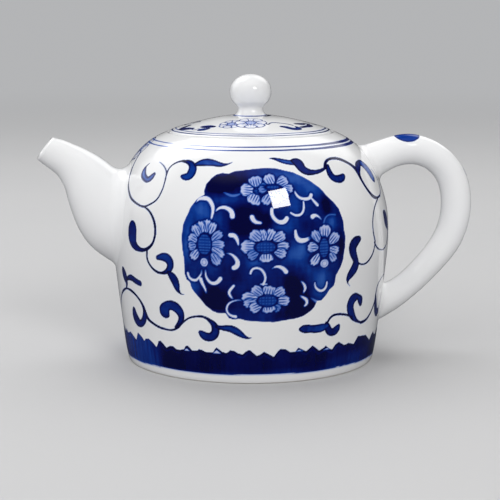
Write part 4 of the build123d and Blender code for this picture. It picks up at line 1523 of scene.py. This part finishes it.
# colour of the cobalt by tone
COBALT = [
    (0.00, WHITE), (0.06, (0.690, 0.710, 0.800)),
    (0.14, (0.450, 0.510, 0.750)), (0.30, (0.150, 0.240, 0.600)),
    (0.50, (0.022, 0.095, 0.400)), (0.66, (0.003, 0.038, 0.270)),
    (0.82, (0.0008, 0.010, 0.140)), (0.94, (0.0006, 0.0022, 0.072)),
    (1.00, (0.0004, 0.0008, 0.036)),
]


def body_colour(nodes, place, white):
    """white with a slow cast from the firing and rare small specks"""
    slow = nodes.mul(nodes.noise(place, scale=38.0), 0.5, clamp=True)
    cast = (white[0] * 0.955, white[1] * 0.965, white[2] * 0.985, 1.0)
    base = nodes.colour(slow, (*white, 1.0), cast)
    cells = nodes.new("TexVoronoi", {"Vector": place, "Scale": 210.0})
    dot = nodes.math("LESS_THAN", cells.outputs["Distance"], 0.028)
    chance = nodes.new("SeparateColor", {0: cells.outputs["Color"]}).outputs[0]
    dot = nodes.mul(dot, nodes.math("GREATER_THAN", chance, 0.93))
    return nodes.colour(nodes.mul(dot, 0.35), base, (0.36, 0.34, 0.32, 1.0))


def cobalt_over(nodes, place, base):
    """the blue laid over the body; returns the colour and how far it covers"""
    tone, covered = nodes.layer("cobalt"), nodes.layer("covered")
    # pigment grain, the pull of the brush and clouding
    mapping = nodes.new("Mapping", {"Vector": place, "Scale": (1.0, 1.0, 0.32)})
    grain = nodes.sub(nodes.noise(place, scale=1500.0), 0.5)
    pull = nodes.sub(nodes.noise(mapping.outputs["Vector"], scale=420.0, rough=0.6), 0.5)
    cloud = nodes.sub(nodes.noise(place, scale=130.0), 0.5)
    shift = nodes.add(
        nodes.mul(grain, 0.14), nodes.add(nodes.mul(pull, 0.26), nodes.mul(cloud, 0.16))
    )
    amount = nodes.mul(tone, nodes.sub(1.25, tone))
    tone = nodes.add(tone, nodes.mul(shift, amount), clamp=True)
    ramp = nodes.new("ValToRGB", {0: tone})
    stops = ramp.color_ramp.elements
    stops.remove(stops[-1])
    stops[0].position, stops[0].color = COBALT[0][0], (*COBALT[0][1], 1)
    for position, colour in COBALT[1:]:
        stops.new(position).color = (*colour, 1)
    # a crisp, slightly ragged edge
    ragged = nodes.mul(nodes.sub(nodes.noise(place, scale=900.0), 0.5), 0.30)
    edge = nodes.sub(nodes.add(covered, ragged), 0.5)
    edge = nodes.add(nodes.mul(edge, 2.6), 0.5, clamp=True)
    edge = nodes.mul(edge, nodes.mul(covered, 8.0, clamp=True))
    cover = nodes.mul(nodes.mul(tone, 22.0, clamp=True), edge)
    # a pale blue breath where the colour creeps into the glaze
    creep = nodes.sub(nodes.mul(covered, 3.2), 0.10, clamp=True)
    creep = nodes.mul(creep, nodes.mul(tone, 0.62, clamp=True))
    base = nodes.colour(creep, base, (0.25, 0.40, 0.86, 1.0))
    return nodes.colour(cover, base, ramp.outputs[0]), cover


def porcelain(name, painted=True, bare=True, white=WHITE):
    """glazed white, with painted blue and bare clay where the mesh layers say so"""
    material = bpy.data.materials.new(name)
    nodes = Nodes(material)
    place = nodes.new("TexCoord").outputs["Object"]
    base = body_colour(nodes, place, white)
    rough = nodes.add(nodes.mul(nodes.noise(place, scale=160.0, detail=3.0), 0.07), 0.10)
    relief = nodes.add(
        nodes.mul(nodes.noise(place, scale=85.0, detail=1.0), 1.0),
        nodes.mul(nodes.noise(place, scale=620.0), 0.045),
    )
    coat = 1.0
    if painted:
        base, cover = cobalt_over(nodes, place, base)
        relief = nodes.add(relief, nodes.mul(cover, 0.04))
    if bare:
        clay_part = nodes.mul(nodes.layer("unglazed"), 1.0, clamp=True)
        clay = nodes.noise(place, scale=900.0, detail=3.0)
        clay_colour = nodes.colour(clay, (0.66, 0.62, 0.56, 1), (0.80, 0.77, 0.72, 1))
        base = nodes.colour(clay_part, base, clay_colour)
        rough = nodes.add(rough, nodes.mul(clay_part, 0.6), clamp=True)
        coat = nodes.sub(1.0, clay_part, clamp=True)
        relief = nodes.add(relief, nodes.mul(nodes.mul(clay, clay_part), 0.8))
    bump = nodes.new("Bump", {"Strength": 0.35, "Distance": 0.00011, "Height": relief}).outputs[0]
    surface = nodes.new("BsdfPrincipled", {
        "Base Color": base, "Roughness": rough, "IOR": 1.50, "Specular IOR Level": 0.0,
        "Coat Weight": coat, "Coat IOR": 1.50, "Coat Roughness": 0.025,
        "Normal": bump, "Coat Normal": bump,
    })
    nodes.new("OutputMaterial", {0: surface.outputs[0]})
    return material


glaze_painted = porcelain("glaze_painted")
glaze_lid = porcelain("glaze_lid")
glaze_handle = porcelain("glaze_handle", bare=False)
glaze_plain = porcelain("glaze_plain", painted=False, bare=False)
glaze_knob = porcelain("glaze_knob", bare=False)
glaze_inside = porcelain("glaze_inside", painted=False, bare=False, white=(0.785, 0.795, 0.795))


# ------------------------------------------------------------------- pieces
def piece(surface, name, body, node, material, layers):
    obj = surface.mesh(name, layers)
    obj.data.materials.append(material)
    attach(obj, body)
    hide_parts(node)
    return obj


pot = build_pot()
pot_layers = turned_layers(pot, wall_first, paint_wall, pot_unglazed())
pot_ob = piece(pot, "pot_wall", "pot", "pot_body", glaze_painted, pot_layers)
spout_ob = piece(build_spout(), "spout_glazed", "pot", "spout", glaze_plain, {})
handle = build_handle()
handle_ob = piece(handle, "handle_glazed", "pot", "handle", glaze_handle,
                  paint_handle(handle.verts()))
lid = build_lid()
lid_layers = turned_layers(lid, lid_first, paint_lid, lid_unglazed())
lid_ob = piece(lid, "lid_cover", "lid", "lid", glaze_lid, lid_layers)
knob = build_knob()
knob_ob = piece(knob, "knob_ball", "lid", "lid_knob", glaze_knob,
                paint_knob(knob.verts()))

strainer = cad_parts["spout_strainer"]
if not strainer.material_slots:
    strainer.data.materials.append(glaze_inside)
for material_slot in strainer.material_slots:
    material_slot.link = "OBJECT"
    material_slot.material = glaze_inside

# -------------------------------------------------------------------- stage
scene = bpy.context.scene
scene.view_settings.view_transform = "Standard"
scene.view_settings.look = "None"
scene.view_settings.exposure = 0.0
scene.view_settings.gamma = 1.0

BACKDROP = (0.455, 0.460, 0.470, 1)
# soft glows that only the glaze mirrors, in degrees: azimuth from -Y towards +X,
# elevation, half angle of the full core and of the outer edge; then strength
GLOWS = [
    (-147, 52, 4, 26, 5.0), (-118, 28, 3, 30, 1.4), (138, 42, 4, 26, 1.8),
    (60, 62, 3, 30, 0.2), (-40, 70, 3, 30, 0.35),
]


def toward(origin, azimuth, elevation, distance):
    """a place seen from origin at an azimuth from -Y towards +X and an elevation"""
    turn, rise = math.radians(azimuth), math.radians(elevation)
    return (
        origin[0] + distance * math.sin(turn) * math.cos(rise),
        origin[1] - distance * math.cos(turn) * math.cos(rise),
        origin[2] + distance * math.sin(rise),
    )


def build_world():
    """even light, glows for mirror rays, and a plain backdrop for the camera"""
    world = bpy.data.worlds.new("studio")
    scene.world = world
    nodes = Nodes(world)
    view = nodes.new("TexCoord").outputs["Generated"]
    total = None
    for azimuth, elevation, core, edge, strength in GLOWS:
        direction = toward((0, 0, 0), azimuth, elevation, 1)
        facing = nodes.new("VectorMath", {0: view, 1: direction}, operation="DOT_PRODUCT")
        glow = nodes.new("MapRange", {
            "Value": facing.outputs["Value"],
            "From Min": math.cos(math.radians(edge)), "From Max": math.cos(math.radians(core)),
            "To Min": 0.0, "To Max": strength,
        }, interpolation_type="SMOOTHERSTEP").outputs[0]
        total = glow if total is None else nodes.add(total, glow)
    ambient = nodes.new("Background", {0: (1.0, 0.99, 0.98, 1), 1: 0.54})
    mirrored = nodes.new("Background", {0: (1.0, 1.0, 1.0, 1), 1: nodes.add(total, 0.05)})
    backdrop = nodes.new("Background", {0: BACKDROP})
    rays = nodes.new("LightPath").outputs
    light = nodes.shaders(rays["Is Glossy Ray"], ambient.outputs[0], mirrored.outputs[0])
    light = nodes.shaders(rays["Is Camera Ray"], light, backdrop.outputs[0])
    nodes.new("OutputWorld", {0: light})


def floor_material():
    material = bpy.data.materials.new("studio_floor")
    nodes = Nodes(material)
    place = nodes.new("TexCoord").outputs["Object"]
    mottle = nodes.noise(place, scale=6.0, detail=3.0)
    near = nodes.new("BsdfPrincipled", {
        "Base Color": nodes.colour(mottle, (0.50, 0.505, 0.515, 1), (0.53, 0.53, 0.535, 1)),
        "Roughness": 0.7, "Specular IOR Level": 0.2,
    })
    # the floor melts into the backdrop with distance
    away = nodes.new("VectorMath", {0: place}, operation="LENGTH").outputs["Value"]
    melt = nodes.new("MapRange", {"Value": away, "From Min": 0.25, "From Max": 1.7},
                     interpolation_type="SMOOTHSTEP")
    glow = nodes.new("Emission", {0: BACKDROP})
    seen = nodes.shaders(melt.outputs[0], near.outputs[0], glow.outputs[0])
    # what the pieces receive from it: little by mirror rays, more by diffuse ones
    dim = nodes.new("BsdfDiffuse", {0: (0.06, 0.065, 0.08, 1)})
    soft = nodes.new("BsdfDiffuse", {0: (0.36, 0.36, 0.37, 1)})
    rays = nodes.new("LightPath").outputs
    felt = nodes.shaders(rays["Is Diffuse Ray"], dim.outputs[0], soft.outputs[0])
    nodes.new("OutputMaterial", {0: nodes.shaders(rays["Is Camera Ray"], felt, seen)})
    return material


def build_floor():
    """a disc of rings, in metres"""
    radii, count = [0.2, 0.4, 0.7, 1.0, 1.5, 2.2, 3.2, 4.6, 6.5], 64
    verts, faces = [(0.0, 0.0, 0.0)], []
    for radius in radii:
        for turn in np.linspace(0, 2 * math.pi, count + 1)[:-1]:
            verts.append((radius * math.cos(turn), radius * math.sin(turn), 0.0))
    for j in range(count):
        faces.append((0, 1 + j, 1 + (j + 1) % count))
    for i in range(len(radii) - 1):
        for j in range(count):
            here, beside = 1 + i * count + j, 1 + i * count + (j + 1) % count
            faces.append((here, here + count, beside + count, beside))
    mesh = bpy.data.meshes.new("studio_floor")
    mesh.from_pydata(verts, [], faces)
    obj = bpy.data.objects.new("studio_floor", mesh)
    scene.collection.objects.link(obj)
    mesh.materials.append(floor_material())
    return obj


def softbox(name, aim, azimuth, elevation, distance, size, power, colour=(1, 1, 1)):
    light = bpy.data.lights.new(name, "AREA")
    light.shape = "RECTANGLE"
    light.size, light.size_y = size
    light.energy = power
    light.color = colour
    obj = bpy.data.objects.new(name, light)
    scene.collection.objects.link(obj)
    place = toward(aim, azimuth, elevation, distance)
    obj.location = place
    obj.rotation_euler = (Vector(aim) - Vector(place)).to_track_quat("-Z", "Y").to_euler()
    return obj


def only_for(light, name, objects):
    """the light reaches these objects alone"""
    receivers = bpy.data.collections.new(name)
    for obj in objects:
        receivers.objects.link(obj)
    light.light_linking.receiver_collection = receivers


def build_lights(floor):
    middle = Vector(((cad_box[0][0] + cad_box[1][0]) / 2, 0, 0.045))
    # the small window that shows on the roundel
    spot = (0.0043, -0.0452, 0.0633)
    warm = (1.0, 0.99, 0.97)
    window = softbox("window", spot, azimuth=20.7, elevation=32.4, distance=1.15,
                     size=(0.30, 0.285), power=6.2, colour=warm)
    window.rotation_euler.rotate_axis("Z", math.radians(4))
    twin = softbox("window_soft", spot, azimuth=14.0, elevation=30.0, distance=1.3,
                   size=(0.42, 0.40), power=6.1, colour=warm)
    # the twin lights every piece; the window is mirrored by all but the spout and handle
    twin.visible_glossy = False
    window.visible_diffuse = False
    mirroring = [pot_ob, lid_ob, knob_ob, strainer, floor]
    only_for(window, "window_seen", mirroring)
    only_for(twin, "window_lit", mirroring + [spout_ob, handle_ob])
    # a faint glint of it is left on the handle
    glint = softbox("window_glint", spot, azimuth=24.0, elevation=36.0, distance=1.22,
                    size=(0.16, 0.12), power=0.55, colour=warm)
    glint.visible_diffuse = False
    only_for(glint, "glint_seen", [handle_ob])
    # broad lights that shape the pot but are not mirrored: from above behind, from the
    # front on the spout's side, and from the spout's side; then a little more light for
    # the handle and the spout alone
    for name, azimuth, elevation, distance, size, power, target in (
        ("overhead", 178, 62, 1.0, (1.0, 0.9), 5.2, None),
        ("front", -42, 32, 1.3, (1.0, 0.8), 4.4, None),
        ("side", -100, 28, 1.1, (0.6, 0.6), 1.6, None),
        ("handle_fill", 28, 14, 1.15, (0.8, 0.7), 1.3, handle_ob),
        ("spout_fill", -55, 14, 1.15, (0.8, 0.7), 0.8, spout_ob),
    ):
        lamp = softbox(name, middle, azimuth, elevation, distance, size, power)
        lamp.visible_glossy = False
        if target:
            only_for(lamp, name, [target])


def build_camera():
    camera = bpy.data.cameras.new("view")
    camera.sensor_width = 36.0
    camera.lens = 109.2456
    camera.shift_x = -0.001
    camera.clip_start, camera.clip_end = 0.05, 10
    obj = bpy.data.objects.new("view", camera)
    scene.collection.objects.link(obj)
    azimuth, distance, height, tilt_down = math.radians(-6.5), 0.5413, 0.1286, 9.46
    obj.location = (distance * math.sin(azimuth), -distance * math.cos(azimuth), height)
    obj.rotation_euler = (math.radians(90 - tilt_down), 0, azimuth)
    scene.camera = obj


build_world()
build_lights(build_floor())
build_camera()
